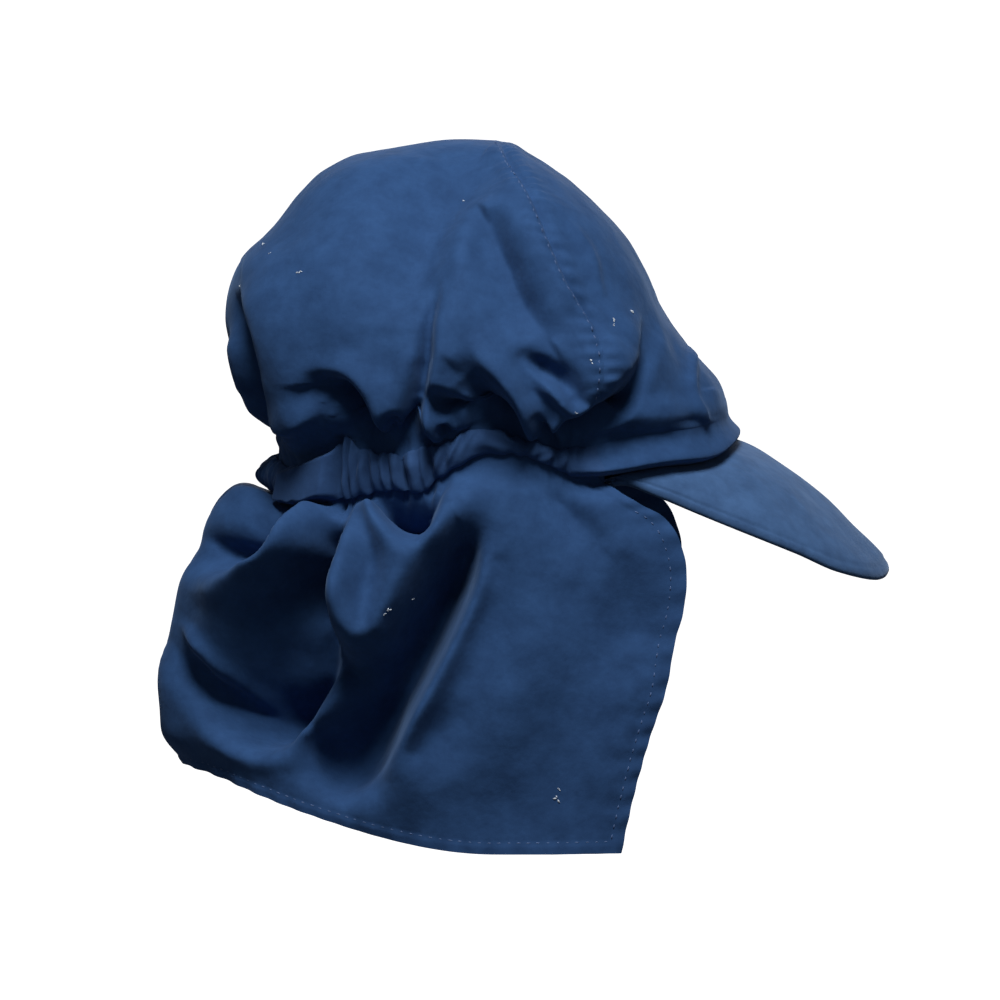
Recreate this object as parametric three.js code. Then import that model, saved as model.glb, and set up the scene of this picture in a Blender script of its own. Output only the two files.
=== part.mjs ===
// Sun hat with a gathered neck flap and an arched peak, in the form that it has when worn.
// Millimetres. The peak points along +X, the wearer's right is -Y and up is +Z.
// The origin is the middle of the head opening at the height of the elastic.
import * as THREE from "three";
import { mergeVertices } from "three/addons/utils/BufferGeometryUtils.js";

// Driving dimensions
const CLOTH = 1.4; // wall of a panel: one layer of microfibre and its seam allowance
const GAP = 0.3; // clearance between two pieces that are sewn to each other
const HEM_DEPTH = 5; // how far the turned hem of the flap reaches in from its edge
const HEM_EXTRA = 0.8; // what the turned cloth adds to the wall at the hem
const CASING_WALL = 3; // two layers of gathered cloth round the elastic
const CASING_RIB = 1.5; // how far the gathers of the casing stand out
const CASING_BULGE = 1; // how far the casing is rounded out between its two edges
const FRONT_BAND_WALL = 2.4; // the folded cloth of the smooth front roll
const FRONT_BAND_BULGE = 1.2;
const PEAK_THICKNESS = 4.2; // stiff core, wadding and two covers
const PEAK_EDGE_ROUND = 5; // depth over which the rim of the peak is rounded
const PEAK_RIM_SHARE = 0.12; // share of the thickness that is left at the very rim
const TEMPLE = 62; // degrees from the front at which the casing ends and the front band starts
const SIDE_COLUMNS = 64; // divisions round the sides and the back
const FRONT_COLUMNS = 24; // divisions round the front
const CROWN_ROWS = 14;
const FLAP_ROWS = 14;
const ROW_CROWDING = 1.2; // above 1 the rows of the crown and the flap crowd towards the casing
const PEAK_ROWS = 8;
const PEAK_ROW_CROWDING = 1.7; // above 1 the rows of the peak crowd towards its rim
const BAND_ROWS = 3;

// The crown in sections from the rim (rise 0) to the top (rise 1): how far each reaches forward,
// backward and to the side of the middle, and its height there.
const CROWN_SECTIONS = [
  { rise: 0.0, front: 87.5, frontZ: 14, back: 84.2, backZ: 1, side: 75, sideZ: 9 },
  { rise: 0.1, front: 86.8, frontZ: 21, back: 91.6, backZ: 19, side: 82, sideZ: 19.5 },
  { rise: 0.2, front: 83.5, frontZ: 30, back: 99.7, backZ: 36.7, side: 85, sideZ: 34.5 },
  { rise: 0.3, front: 74.2, frontZ: 41, back: 102.8, backZ: 55.8, side: 84.5, sideZ: 52.5 },
  { rise: 0.4, front: 64.6, frontZ: 53.8, back: 98.7, backZ: 74, side: 80.5, sideZ: 70 },
  { rise: 0.5, front: 58.1, frontZ: 68.4, back: 85.5, backZ: 88.4, side: 73, sideZ: 86 },
  { rise: 0.6, front: 50.5, frontZ: 82.2, back: 73.4, backZ: 103.5, side: 62.5, sideZ: 99 },
  { rise: 0.7, front: 39.6, frontZ: 93.9, back: 57.7, backZ: 114.6, side: 49.5, sideZ: 108.5 },
  { rise: 0.8, front: 27.1, frontZ: 104.2, back: 38.7, backZ: 119.4, side: 34.5, sideZ: 115.5 },
  { rise: 0.9, front: 13.8, frontZ: 113, back: 19.7, backZ: 122.1, side: 18, sideZ: 120 },
  { rise: 1.0, front: 0, frontZ: 121.5, back: 0, backZ: 121.5, side: 0, sideZ: 121.5 },
];
const CROWN_SQUARENESS = 2.6; // plan of the rim, 2 is an ellipse
const TOP_SQUARENESS = 2.0;

// The band by its angle from the front: heights of its lower and upper edge.
const BAND_HEIGHTS = [
  { angle: 0, low: 9, high: 19 },
  { angle: 15, low: 6.5, high: 17.5 },
  { angle: 30, low: 1, high: 15 },
  { angle: 45, low: 0, high: 13.5 },
  { angle: 62, low: -3, high: 12 },
  { angle: 70, low: -2, high: 8.5 },
  { angle: 82, low: 5, high: 11.5 },
  { angle: 95, low: 5, high: 16 },
  { angle: 106, low: -3, high: 10 },
  { angle: 112, low: -9, high: 8.5 },
  { angle: 120, low: -8, high: 6 },
  { angle: 133, low: -12, high: 8.5 },
  { angle: 147, low: -15, high: 0 },
  { angle: 165, low: -12, high: 1 },
  { angle: 180, low: -11.5, high: 1 },
];
const BAND_PLAN = { front: 86.5, back: 84.2, side: 75 };

// The flap in sections from its gathered top (drop 0) to its hem (drop 1): its front edge (how far
// forward, how far to the side, height), and how far it reaches back and to the side, and the heights there.
const FLAP_SECTIONS = [
  { drop: 0.0, edge: 35.5, edgeY: 67, edgeZ: -4, back: 85, backZ: -12, side: 75, sideZ: 1 },
  { drop: 0.1, edge: 50, edgeY: 75.5, edgeZ: -12, back: 100, backZ: -17, side: 79, sideZ: -13.5 },
  { drop: 0.2, edge: 64, edgeY: 76, edgeZ: -19.5, back: 109, backZ: -26, side: 81.5, sideZ: -28 },
  { drop: 0.3, edge: 70.5, edgeY: 77, edgeZ: -33.5, back: 114, backZ: -37, side: 83.5, sideZ: -42 },
  { drop: 0.4, edge: 70.5, edgeY: 78.5, edgeZ: -49.5, back: 118.7, backZ: -47.5, side: 85, sideZ: -57 },
  { drop: 0.5, edge: 66.5, edgeY: 80, edgeZ: -65.5, back: 122.7, backZ: -57.5, side: 86.5, sideZ: -71 },
  { drop: 0.6, edge: 63.5, edgeY: 81, edgeZ: -81.5, back: 124.7, backZ: -68.5, side: 88, sideZ: -85.5 },
  { drop: 0.7, edge: 58.5, edgeY: 82, edgeZ: -97, back: 126.2, backZ: -79.5, side: 89, sideZ: -100 },
  { drop: 0.8, edge: 54, edgeY: 83, edgeZ: -112, back: 127.5, backZ: -91, side: 90, sideZ: -114 },
  { drop: 0.9, edge: 50, edgeY: 84, edgeZ: -127.5, back: 127.9, backZ: -102, side: 91, sideZ: -128.5 },
  { drop: 1.0, edge: 46.7, edgeY: 85, edgeZ: -143.5, back: 126.7, backZ: -113, side: 92, sideZ: -143.5 },
];
const FLAP_SQUARENESS = 2.4;

// The seam between the two crown panels: its angle from the front at each rise.
const SEAM_COURSE = [
  { rise: 0, angle: TEMPLE },
  { rise: 0.15, angle: 65 },
  { rise: 0.33, angle: 65.5 },
  { rise: 0.42, angle: 71.5 },
  { rise: 0.6, angle: 76.5 },
  { rise: 1, angle: 84 },
];

// Folds of the crown: the angle and rise of each point that a fold runs through, how far it stands
// out (plus) or sinks in (minus) in millimetres, and its half width in millimetres.
const CROWN_FOLDS = [
  { name: "crease behind the ear", course: [[106, 0.42], [108, 0.25], [113, 0.02]], depth: -7, width: 8 },
  { name: "roll in front of the crease", course: [[99, 0.45], [99, 0.25]], depth: 1.5, width: 12 },
  { name: "hollow behind the ear", course: [[130, 0.17], [129, 0.03]], depth: -7, width: 10 },
  { name: "hollow above the ear", course: [[94, 0.19], [90, 0.12], [88, 0.03]], depth: -7, width: 9 },
  { name: "slanting ridge", course: [[94, 0.28], [86, 0.18], [81, 0.07]], depth: 3.5, width: 8 },
  { name: "hollow at the temple", course: [[80, 0.23], [73, 0.19]], depth: -4, width: 9 },
  { name: "big front hollow", course: [[74, 0.09], [63, 0.1], [53, 0.18]], depth: -8, width: 10 },
  { name: "soft front valley", course: [[38, 0.36], [48, 0.25], [53, 0.18]], depth: -3, width: 13 },
  { name: "front corner crease", course: [[20, 0.3], [29, 0.22], [29, 0.08]], depth: -3, width: 9 },
  { name: "valley beside the seam", course: [[92, 0.56], [84, 0.4], [78, 0.3]], depth: -3.5, width: 10 },
  { name: "broad upper valley", course: [[106, 0.78], [111, 0.6], [115, 0.32]], depth: -5, width: 15 },
  { name: "back hollow", course: [[163, 0.3], [160, 0.16], [158, 0.03]], depth: -7, width: 13 },
  { name: "back corner ridge", course: [[152, 0.34], [147, 0.2], [147, 0.08]], depth: 3, width: 11 },
];

// Folds of the flap, in the same columns with the drop in place of the rise.
const FLAP_FOLDS = [
  { name: "rear ridge", course: [[140, 0.08], [146, 0.22], [154, 0.33], [163, 0.4]], depth: 7, width: 11 },
  { name: "rear valley", course: [[130, 0.1], [135, 0.3], [141, 0.5], [146, 0.82]], depth: -12, width: 15 },
  { name: "tongue ridge", course: [[126, 0.07], [126, 0.26], [125, 0.48]], depth: 8, width: 10 },
  { name: "slanting ridge", course: [[101, 0.04], [109, 0.2], [116, 0.4], [124, 0.5]], depth: 5, width: 10 },
  { name: "pocket under the casing", course: [[114, 0.03], [118, 0.22]], depth: -6, width: 9 },
  { name: "mid valley", course: [[102, 0.17], [108, 0.38], [116, 0.55], [126, 0.85]], depth: -12, width: 14 },
  { name: "front ridge", course: [[91, 0.15], [97, 0.3], [106, 0.55], [117, 0.78]], depth: 6, width: 12 },
  { name: "front crease", course: [[77, 0.02], [72, 0.13], [66, 0.22]], depth: -3, width: 9 },
  { name: "nape valley", course: [[180, 0.04], [180, 0.5], [180, 0.95]], depth: -9, width: 14 },
  { name: "nape ridge", course: [[168, 0.1], [168, 0.5], [167, 0.95]], depth: 4, width: 11 },
];
const FAR_SIDE_DEPTH = 0.85; // the folds of the wearer's left are a little flatter
const FAR_SIDE_SHIFT = 3; // and lie a few degrees further back

// The peak from its middle (side 0) to its corner (side 1): height of its rim.
const PEAK_RIM = [
  { side: 0, height: -43.5 },
  { side: 0.15, height: -44.5 },
  { side: 0.3, height: -39.5 },
  { side: 0.42, height: -31 },
  { side: 0.55, height: -23.5 },
  { side: 0.7, height: -16.5 },
  { side: 0.85, height: -10.5 },
  { side: 1, height: -6 },
];
const PEAK_PLAN = { middle: 48, length: 100.7, halfWidth: 68, squareness: 2.3, sweep: 96 };
const PEAK_ROOT_INSET = 2; // the root of the peak reaches this far in under the front band
const PEAK_ROOT_ANGLE = 60; // degrees from the front at which the root ends
const PEAK_CURVE = 1.5; // above 1 the peak leaves the head flat and bends down towards its rim

// The value of one column of a table, by smooth interpolation between its rows. Where the table
// ends at the middle plane, the value arrives there level, so that the other half joins it smoothly.
function lookUp(table, key, column, at, levelEnds = false) {
  const last = table.length - 1;
  let row = 0;
  while (row < last - 1 && at > table[row + 1][key]) row += 1;
  const previous = table[Math.max(row - 1, 0)];
  const start = table[row];
  const end = table[row + 1];
  const next = table[Math.min(row + 2, last)];
  const span = end[key] - start[key];
  const part = THREE.MathUtils.clamp((at - start[key]) / span, 0, 1);
  let slopeIn = (end[column] - previous[column]) / (end[key] - previous[key]);
  let slopeOut = (next[column] - start[column]) / (next[key] - start[key]);
  if (levelEnds && row === 0) slopeIn = 0;
  if (levelEnds && row === last - 1) slopeOut = 0;
  const square = part * part;
  const cube = square * part;
  return (
    (2 * cube - 3 * square + 1) * start[column] +
    (cube - 2 * square + part) * span * slopeIn +
    (3 * square - 2 * cube) * end[column] +
    (cube - square) * span * slopeOut
  );
}

const radians = THREE.MathUtils.degToRad;

// Angles run from 0 at the front over 90 at the wearer's right to 180 at the back and on to 360.
const foldedAngle = (angle) => (angle > 180 ? 360 - angle : Math.abs(angle));

// Distance from the middle to a squared oval in one direction
function ovalReach(angle, front, back, side, squareness) {
  const along = Math.cos(radians(angle));
  const across = Math.abs(Math.sin(radians(angle)));
  const length = Math.max(along > 0 ? front : back, Number.EPSILON);
  const width = Math.max(side, Number.EPSILON);
  const sum = (Math.abs(along) / length) ** squareness + (across / width) ** squareness;
  return sum ** (-1 / squareness);
}

function pointAt(angle, reach, height) {
  return new THREE.Vector3(reach * Math.cos(radians(angle)), -reach * Math.sin(radians(angle)), height);
}

// Total height of the folds at one place: a smooth hump or valley along each course
function foldHeight(folds, angle, level, levelSize) {
  const farShare = Math.max(-Math.sin(radians(angle)), 0);
  const place = foldedAngle(angle) - FAR_SIDE_SHIFT * farShare;
  let total = 0;
  for (const fold of folds) {
    let nearest = Infinity;
    for (let k = 0; k + 1 < fold.course.length; k += 1) {
      const [angleA, levelA] = fold.course[k];
      const [angleB, levelB] = fold.course[k + 1];
      const alongX = (angleB - angleA) * DEGREE_MM;
      const alongY = (levelB - levelA) * levelSize;
      const toX = (place - angleA) * DEGREE_MM;
      const toY = (level - levelA) * levelSize;
      const part = (toX * alongX + toY * alongY) / (alongX * alongX + alongY * alongY);
      const held = THREE.MathUtils.clamp(part, 0, 1);
      nearest = Math.min(nearest, Math.hypot(toX - held * alongX, toY - held * alongY));
    }
    const depth = fold.depth * (1 - (1 - FAR_SIDE_DEPTH) * farShare);
    total += depth * Math.exp(-((nearest / fold.width) ** 2));
  }
  return total;
}

const bandReach = (angle) =>
  ovalReach(angle, BAND_PLAN.front, BAND_PLAN.back, BAND_PLAN.side, CROWN_SQUARENESS);
const bandLow = (angle) => lookUp(BAND_HEIGHTS, "angle", "low", foldedAngle(angle), true);
const bandHigh = (angle) => lookUp(BAND_HEIGHTS, "angle", "high", foldedAngle(angle), true);

// Small gathers that the elastic draws into the cloth round the sides and the back, 0 in the
// grooves and 1 on the ribs
function gatherWave(angle) {
  const place = foldedAngle(angle);
  const besideTemple = THREE.MathUtils.smoothstep(place, TEMPLE, TEMPLE + GATHER_START);
  return besideTemple * Math.cos((Math.PI * (place - TEMPLE)) / GATHER_PITCH) ** 2;
}

// How much of the front this direction faces, 1 straight ahead or straight back and 0 at the side
const endShare = (angle) => Math.cos(radians(angle)) ** 2;

const DEGREE_MM = 1.4; // one degree round the head, measured on the cloth
const CROWN_RISE_MM = 170; // rim to top, measured on the cloth
const FLAP_DROP_MM = 145; // casing to hem, measured on the cloth
const RIM_BLEND = 0.3; // share of the crown or flap over which the band's own height fades out
const RIM_PINCH = 0.09; // share of the crown or flap that rolls in towards the casing
const HEM_STEADY = 0.55; // share of each fold that the stiff hem takes out again
const STEADY_FROM = 0.8; // drop at which the hem starts to do so
const RIM_FADE = 0.05; // share of the crown or flap over which the folds grow from the casing
const TOP_FADE = 0.25; // share of the crown over which they die out below the top
const GATHER_PITCH = (2 * (360 - 2 * TEMPLE)) / SIDE_COLUMNS; // degrees from rib to rib
const GATHER_START = 10; // degrees behind the temple over which the gathers begin
const GATHER_DEPTH = 1.6; // how far the gathers stand out of the crown and the flap
const GATHER_REACH = 0.16; // share of the crown or flap over which they die out

// Outer surface of the crown
function crownSurface(angle, rise) {
  const value = (column) => lookUp(CROWN_SECTIONS, "rise", column, rise);
  const facingFront = Math.cos(radians(angle)) > 0;
  const squareness = CROWN_SQUARENESS + (TOP_SQUARENESS - CROWN_SQUARENESS) * rise;
  const share = endShare(angle);
  const endZ = value(facingFront ? "frontZ" : "backZ");
  let height = value("sideZ") * (1 - share) + endZ * share;
  const rimHeight = CROWN_SECTIONS[0].sideZ * (1 - share) +
    CROWN_SECTIONS[0][facingFront ? "frontZ" : "backZ"] * share;
  const nearRim = Math.max(1 - rise / RIM_BLEND, 0) ** 2;
  height += (bandHigh(angle) + GAP - rimHeight) * nearRim;
  let reach = ovalReach(angle, value("front"), value("back"), value("side"), squareness);
  const fade = THREE.MathUtils.smoothstep(1 - rise, 0, TOP_FADE) *
    THREE.MathUtils.smoothstep(rise, 0, RIM_FADE);
  reach += foldHeight(CROWN_FOLDS, angle, rise, CROWN_RISE_MM) * fade;
  reach += GATHER_DEPTH * gatherWave(angle) * Math.max(1 - rise / GATHER_REACH, 0);
  const pinch = Math.max(1 - rise / RIM_PINCH, 0) ** 2;
  reach += (bandReach(angle) - reach) * pinch;
  return pointAt(angle, reach, height);
}

// Angle of the flap's front edge at one drop
function flapEdgeAngle(drop) {
  const forward = lookUp(FLAP_SECTIONS, "drop", "edge", drop);
  const sideways = lookUp(FLAP_SECTIONS, "drop", "edgeY", drop);
  return THREE.MathUtils.radToDeg(Math.atan2(sideways, forward));
}

// Outer surface of the flap. Its plan is a squared oval that passes through the front edge.
function flapSurface(angle, drop) {
  const value = (column) => lookUp(FLAP_SECTIONS, "drop", column, drop);
  const side = value("side");
  const rest = 1 - (value("edgeY") / side) ** FLAP_SQUARENESS;
  const front = value("edge") / rest ** (1 / FLAP_SQUARENESS);
  let reach = ovalReach(angle, front, value("back"), side, FLAP_SQUARENESS);
  const facingFront = Math.cos(radians(angle)) > 0;
  const share = facingFront ? endShare(angle) / endShare(flapEdgeAngle(drop)) : endShare(angle);
  let height = value("sideZ") * (1 - share) + value(facingFront ? "edgeZ" : "backZ") * share;
  const first = FLAP_SECTIONS[0];
  const topHeight = first.sideZ * (1 - share) + first[facingFront ? "edgeZ" : "backZ"] * share;
  height += (bandLow(angle) - GAP - topHeight) * Math.max(1 - drop / RIM_BLEND, 0) ** 2;
  const grown = THREE.MathUtils.smoothstep(drop, 0, RIM_FADE);
  const steadied = 1 - HEM_STEADY * THREE.MathUtils.smoothstep(drop, STEADY_FROM, 1);
  reach += foldHeight(FLAP_FOLDS, angle, drop, FLAP_DROP_MM) * grown * steadied;
  reach += GATHER_DEPTH * gatherWave(angle) * Math.max(1 - drop / GATHER_REACH, 0);
  const pinch = Math.max(1 - drop / RIM_PINCH, 0) ** 2;
  reach += (bandReach(angle) - reach) * pinch;
  return pointAt(angle, reach, height);
}

const SMALL_STEP = 1e-3; // of a surface from one end to the other
const SMALL_TURN = 0.2; // degrees
const SAME_PLACE = 1e-6; // points closer than this are one point
const MERGE_DISTANCE = 1e-4;

// Outward direction of a surface, from two short steps on it
function outwardAt(surface, angle, level) {
  const low = Math.max(level - SMALL_STEP, 0);
  const high = Math.min(level + SMALL_STEP, 1);
  const round = surface(angle + SMALL_TURN, level).sub(surface(angle - SMALL_TURN, level));
  const along = surface(angle, high).sub(surface(angle, low));
  const outward = round.cross(along).normalize();
  const radial = pointAt(angle, 1, 0);
  return outward.dot(radial) < 0 ? outward.negate() : outward;
}

// One closed solid between two grids of points that share their rows and columns
function solidBetween(rows, columns, outerAt, innerAt) {
  const positions = [];
  const addTriangle = (a, b, c) => {
    const shortest = Math.min(a.distanceTo(b), b.distanceTo(c), c.distanceTo(a));
    if (shortest < SAME_PLACE) return;
    positions.push(...a.toArray(), ...b.toArray(), ...c.toArray());
  };
  const addQuad = (a, b, c, d) => {
    if (a.distanceTo(c) <= b.distanceTo(d)) {
      addTriangle(a, b, c);
      addTriangle(a, c, d);
    } else {
      addTriangle(a, b, d);
      addTriangle(b, c, d);
    }
  };
  const outer = [];
  const inner = [];
  for (let row = 0; row <= rows; row += 1) {
    outer.push([]);
    inner.push([]);
    for (let column = 0; column <= columns; column += 1) {
      outer[row].push(outerAt(row, column));
      inner[row].push(innerAt(row, column));
    }
  }
  for (let row = 0; row < rows; row += 1) {
    for (let column = 0; column < columns; column += 1) {
      const next = column + 1;
      addQuad(outer[row][column], outer[row + 1][column], outer[row + 1][next], outer[row][next]);
      addQuad(inner[row][column], inner[row][next], inner[row + 1][next], inner[row + 1][column]);
    }
    addQuad(outer[row][0], inner[row][0], inner[row + 1][0], outer[row + 1][0]);
    addQuad(outer[row][columns], outer[row + 1][columns], inner[row + 1][columns], inner[row][columns]);
  }
  for (let column = 0; column < columns; column += 1) {
    const next = column + 1;
    addQuad(outer[0][column], outer[0][next], inner[0][next], inner[0][column]);
    addQuad(outer[rows][column], inner[rows][column], inner[rows][next], outer[rows][next]);
  }
  const geometry = new THREE.BufferGeometry();
  geometry.setAttribute("position", new THREE.Float32BufferAttribute(positions, 3));
  return mergeVertices(geometry, MERGE_DISTANCE);
}

// One wall of cloth: the surface and its copy one thickness further in. Rows go up.
function clothWall(surface, levels, angleAt, thicknessAt) {
  const columns = angleAt.columns;
  const place = (row, column) => [angleAt(row, column), levels[row]];
  const outerAt = (row, column) => surface(...place(row, column));
  const innerAt = (row, column) => {
    const [angle, level] = place(row, column);
    const outward = outwardAt(surface, angle, level);
    const atRim = level === 0;
    if (atRim) outward.setZ(0).normalize();
    const atTop = surface === crownSurface && level === 1;
    if (atTop) outward.set(0, 0, 1);
    return surface(angle, level).addScaledVector(outward, -thicknessAt(row, column));
  };
  return solidBetween(levels.length - 1, columns, outerAt, innerAt);
}

function material(color, roughness) {
  return new THREE.MeshStandardMaterial({ color, roughness, metalness: 0 });
}

const navyCloth = material(0x2b4770, 0.85);
const navyShade = material(0x233d63, 0.9);
const hat = new THREE.Group();

function addPiece(name, geometry, cloth, shiftX) {
  const mesh = new THREE.Mesh(geometry, cloth);
  mesh.name = name;
  mesh.position.x = shiftX;
  hat.add(mesh);
}

const evenSteps = (count, bend = 1) =>
  Array.from({ length: count + 1 }, (_, step) => (step / count) ** bend);

// Columns of the crown panels follow the seam
const seamAngle = (rise) => lookUp(SEAM_COURSE, "rise", "angle", rise);
const crownLevels = evenSteps(CROWN_ROWS, ROW_CROWDING);

function backColumns(levels, edgeAngle) {
  const angleAt = (row, column) => {
    const edge = edgeAngle(levels[row]);
    return edge + (column / SIDE_COLUMNS) * (360 - 2 * edge);
  };
  angleAt.columns = SIDE_COLUMNS;
  return angleAt;
}

function frontColumns(levels, edgeAngle) {
  const angleAt = (row, column) => {
    const edge = edgeAngle(levels[row]);
    return -edge + (column / FRONT_COLUMNS) * 2 * edge;
  };
  angleAt.columns = FRONT_COLUMNS;
  return angleAt;
}

const crownThickness = () => CLOTH;
const crownBackColumns = backColumns(crownLevels, seamAngle);
const crownFrontColumns = frontColumns(crownLevels, seamAngle);
addPiece("crown_back", clothWall(crownSurface, crownLevels, crownBackColumns, crownThickness),
  navyCloth, -GAP / 2);
addPiece("crown_front", clothWall(crownSurface, crownLevels, crownFrontColumns, crownThickness),
  navyCloth, GAP / 2);

// The casing and the front band: an upright wall that stands out most at half its height
function bandSurface(bulge, ribHeight) {
  return (angle, level) => {
    const height = bandLow(angle) + (bandHigh(angle) - bandLow(angle)) * level;
    const round = Math.sin(Math.PI * level);
    return pointAt(angle, bandReach(angle) + round * (bulge + ribHeight * gatherWave(angle)), height);
  };
}

function bandWall(surface, levels, angleAt, thickness) {
  const outerAt = (row, column) => surface(angleAt(row, column), levels[row]);
  const innerAt = (row, column) => {
    const angle = angleAt(row, column);
    const height = outerAt(row, column).z;
    return pointAt(angle, bandReach(angle) - thickness, height);
  };
  return solidBetween(levels.length - 1, angleAt.columns, outerAt, innerAt);
}

const bandLevels = evenSteps(BAND_ROWS);
const templeAngle = () => TEMPLE;
const casingSurface = bandSurface(CASING_BULGE, CASING_RIB);
const casingColumns = backColumns(bandLevels, templeAngle);
addPiece("elastic_casing", bandWall(casingSurface, bandLevels, casingColumns, CASING_WALL),
  navyShade, -GAP / 2);
const frontBandSurface = bandSurface(FRONT_BAND_BULGE, 0);
const frontBandColumns = frontColumns(bandLevels, templeAngle);
addPiece("front_band", bandWall(frontBandSurface, bandLevels, frontBandColumns, FRONT_BAND_WALL),
  navyCloth, GAP / 2);

// The flap, with its turned hem along the front edges and the bottom
const hemShare = HEM_DEPTH / FLAP_DROP_MM;
const hemStep = 0.008; // share of the flap over which the hem's thickness ends
const aboveHem = 1 - hemShare - hemStep;
const flapLevels = [1, 1 - hemShare]; // from the hem up, as the rows of every wall go up
for (let row = FLAP_ROWS - 2; row >= 0; row -= 1) {
  flapLevels.push(aboveHem * (row / (FLAP_ROWS - 2)) ** ROW_CROWDING);
}

function flapColumn(row, column) {
  const edge = flapEdgeAngle(flapLevels[row]);
  const whole = 360 - 2 * edge;
  const hemAngle = flapLevels[row] === 0 ? whole / SIDE_COLUMNS : HEM_DEPTH / DEGREE_MM;
  const fromEdge = Math.min(column, SIDE_COLUMNS - column);
  const step = (whole - 2 * hemAngle) / (SIDE_COLUMNS - 2);
  const angle = fromEdge === 0 ? 0 : hemAngle + (fromEdge - 1) * step;
  return column <= SIDE_COLUMNS / 2 ? edge + angle : 360 - edge - angle;
}
flapColumn.columns = SIDE_COLUMNS;

function flapThickness(row, column) {
  const fromEdge = Math.min(column, SIDE_COLUMNS - column);
  return row <= 1 || fromEdge <= 1 ? CLOTH + HEM_EXTRA : CLOTH;
}
addPiece("neck_flap", clothWall(flapSurface, flapLevels, flapColumn, flapThickness), navyCloth, -GAP / 2);

// The peak: a padded plate from its root under the front band (out 0) to its rim (out 1)
function peakMiddle(side, out) {
  const rootAngle = PEAK_ROOT_ANGLE * side;
  const root = pointAt(rootAngle, bandReach(rootAngle) - PEAK_ROOT_INSET, 0);
  root.z = bandLow(rootAngle) - GAP - PEAK_THICKNESS / 2;
  const { middle, length, halfWidth, squareness, sweep } = PEAK_PLAN;
  const rim = pointAt(sweep * side, ovalReach(sweep * side, length, length, halfWidth, squareness), 0);
  rim.x += middle;
  rim.z = lookUp(PEAK_RIM, "side", "height", Math.abs(side), true) + PEAK_THICKNESS / 2;
  const point = root.clone().lerp(rim, out);
  point.z = root.z + (rim.z - root.z) * out ** PEAK_CURVE;
  return point;
}

function peakFace(side, out, face) {
  const left = peakMiddle(Math.max(side - SMALL_STEP, -1), out);
  const across = peakMiddle(Math.min(side + SMALL_STEP, 1), out).sub(left);
  const near = peakMiddle(side, Math.max(out - SMALL_STEP, 0));
  const along = peakMiddle(side, Math.min(out + SMALL_STEP, 1)).sub(near);
  const up = across.cross(along).normalize();
  if (up.z < 0) up.negate();
  const length = peakMiddle(side, 0).distanceTo(peakMiddle(side, 1));
  const fromRim = Math.min(((1 - out) * length) / PEAK_EDGE_ROUND, 1);
  const roundness = Math.sqrt(1 - (1 - fromRim) ** 2);
  const half = (PEAK_THICKNESS / 2) * (PEAK_RIM_SHARE + (1 - PEAK_RIM_SHARE) * roundness);
  if (out === 0) up.set(0, 0, 1);
  return peakMiddle(side, out).addScaledVector(up, face * half);
}

const peakOut = (row) => 1 - (row / PEAK_ROWS) ** PEAK_ROW_CROWDING;
const peakSide = (column) => (2 * column) / FRONT_COLUMNS - 1;
addPiece("peak", solidBetween(PEAK_ROWS, FRONT_COLUMNS,
  (row, column) => peakFace(peakSide(column), peakOut(row), 1),
  (row, column) => peakFace(peakSide(column), peakOut(row), -1)), navyCloth, GAP / 2);

export default hat;
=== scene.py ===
# %% [markdown]
# # A child's sun hat with a neck flap
# The hat is sewn from thin navy microfibre: a crown of two panels, a gathered elastic casing, a padded
# peak and a long flap over the neck. It is shown in the form that it has on a head.
#
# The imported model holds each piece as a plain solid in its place. This script puts a fine sheet of
# cloth in the place of each soft solid and a padded piece in that of the peak, in nearly the same
# sizes, and shapes the folds, gathers, seams and hems that a solid leaves out.

import math

import bmesh
import bpy
import numpy as np
from mathutils import Matrix, Vector


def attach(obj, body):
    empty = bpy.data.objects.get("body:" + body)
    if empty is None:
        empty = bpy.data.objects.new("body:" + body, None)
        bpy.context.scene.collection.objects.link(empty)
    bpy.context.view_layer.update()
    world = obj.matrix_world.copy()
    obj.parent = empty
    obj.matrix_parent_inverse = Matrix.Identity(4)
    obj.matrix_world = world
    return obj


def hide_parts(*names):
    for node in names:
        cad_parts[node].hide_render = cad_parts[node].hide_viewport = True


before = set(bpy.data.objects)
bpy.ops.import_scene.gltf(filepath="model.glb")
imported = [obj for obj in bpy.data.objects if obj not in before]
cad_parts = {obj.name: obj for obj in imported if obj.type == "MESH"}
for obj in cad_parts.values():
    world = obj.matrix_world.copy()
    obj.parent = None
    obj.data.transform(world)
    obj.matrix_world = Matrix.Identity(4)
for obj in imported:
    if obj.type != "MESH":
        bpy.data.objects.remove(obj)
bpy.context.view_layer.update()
print("nodes of the packed model:", sorted(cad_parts))

# %% [markdown]
# ## Sizes
# Lengths are in millimetres, as a maker would take them with a tape, and turn to metres only when a
# mesh is made. Directions run round the head in degrees: 0 at the front, 90 at the wearer's right,
# 180 at the back. The wearer's right is the side that the camera sees.

# %% Sizes of the hat
MM = 0.001
CLOTH = 0.9  # microfibre, drawn a little thicker than it is so that its edges catch the light
CASING_CLOTH = 1.6  # two layers, folded over the elastic
HEM_DEPTH = 4.5  # of the turned edge of the flap
TEMPLE = 62  # degrees: where the casing ends and the smooth front band starts
SIDE_VIEW_LIFT = 3  # degrees: the camera looks down on the hat by this much
DEGREE_MM = 1.4  # one degree round the head, measured on the cloth
CROWN_RISE_MM = 170  # from the casing to the top, measured on the cloth
FLAP_DROP_MM = 145  # from the casing to the hem, measured on the cloth
print("crown", CROWN_RISE_MM, "mm and flap", FLAP_DROP_MM, "mm long on the cloth")


# %% Tables that are read by a smooth curve
def table(columns, rows):
    """A table as a dictionary of columns."""
    return {name: np.array(values, float) for name, values in zip(columns.split(), zip(*rows))}


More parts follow.
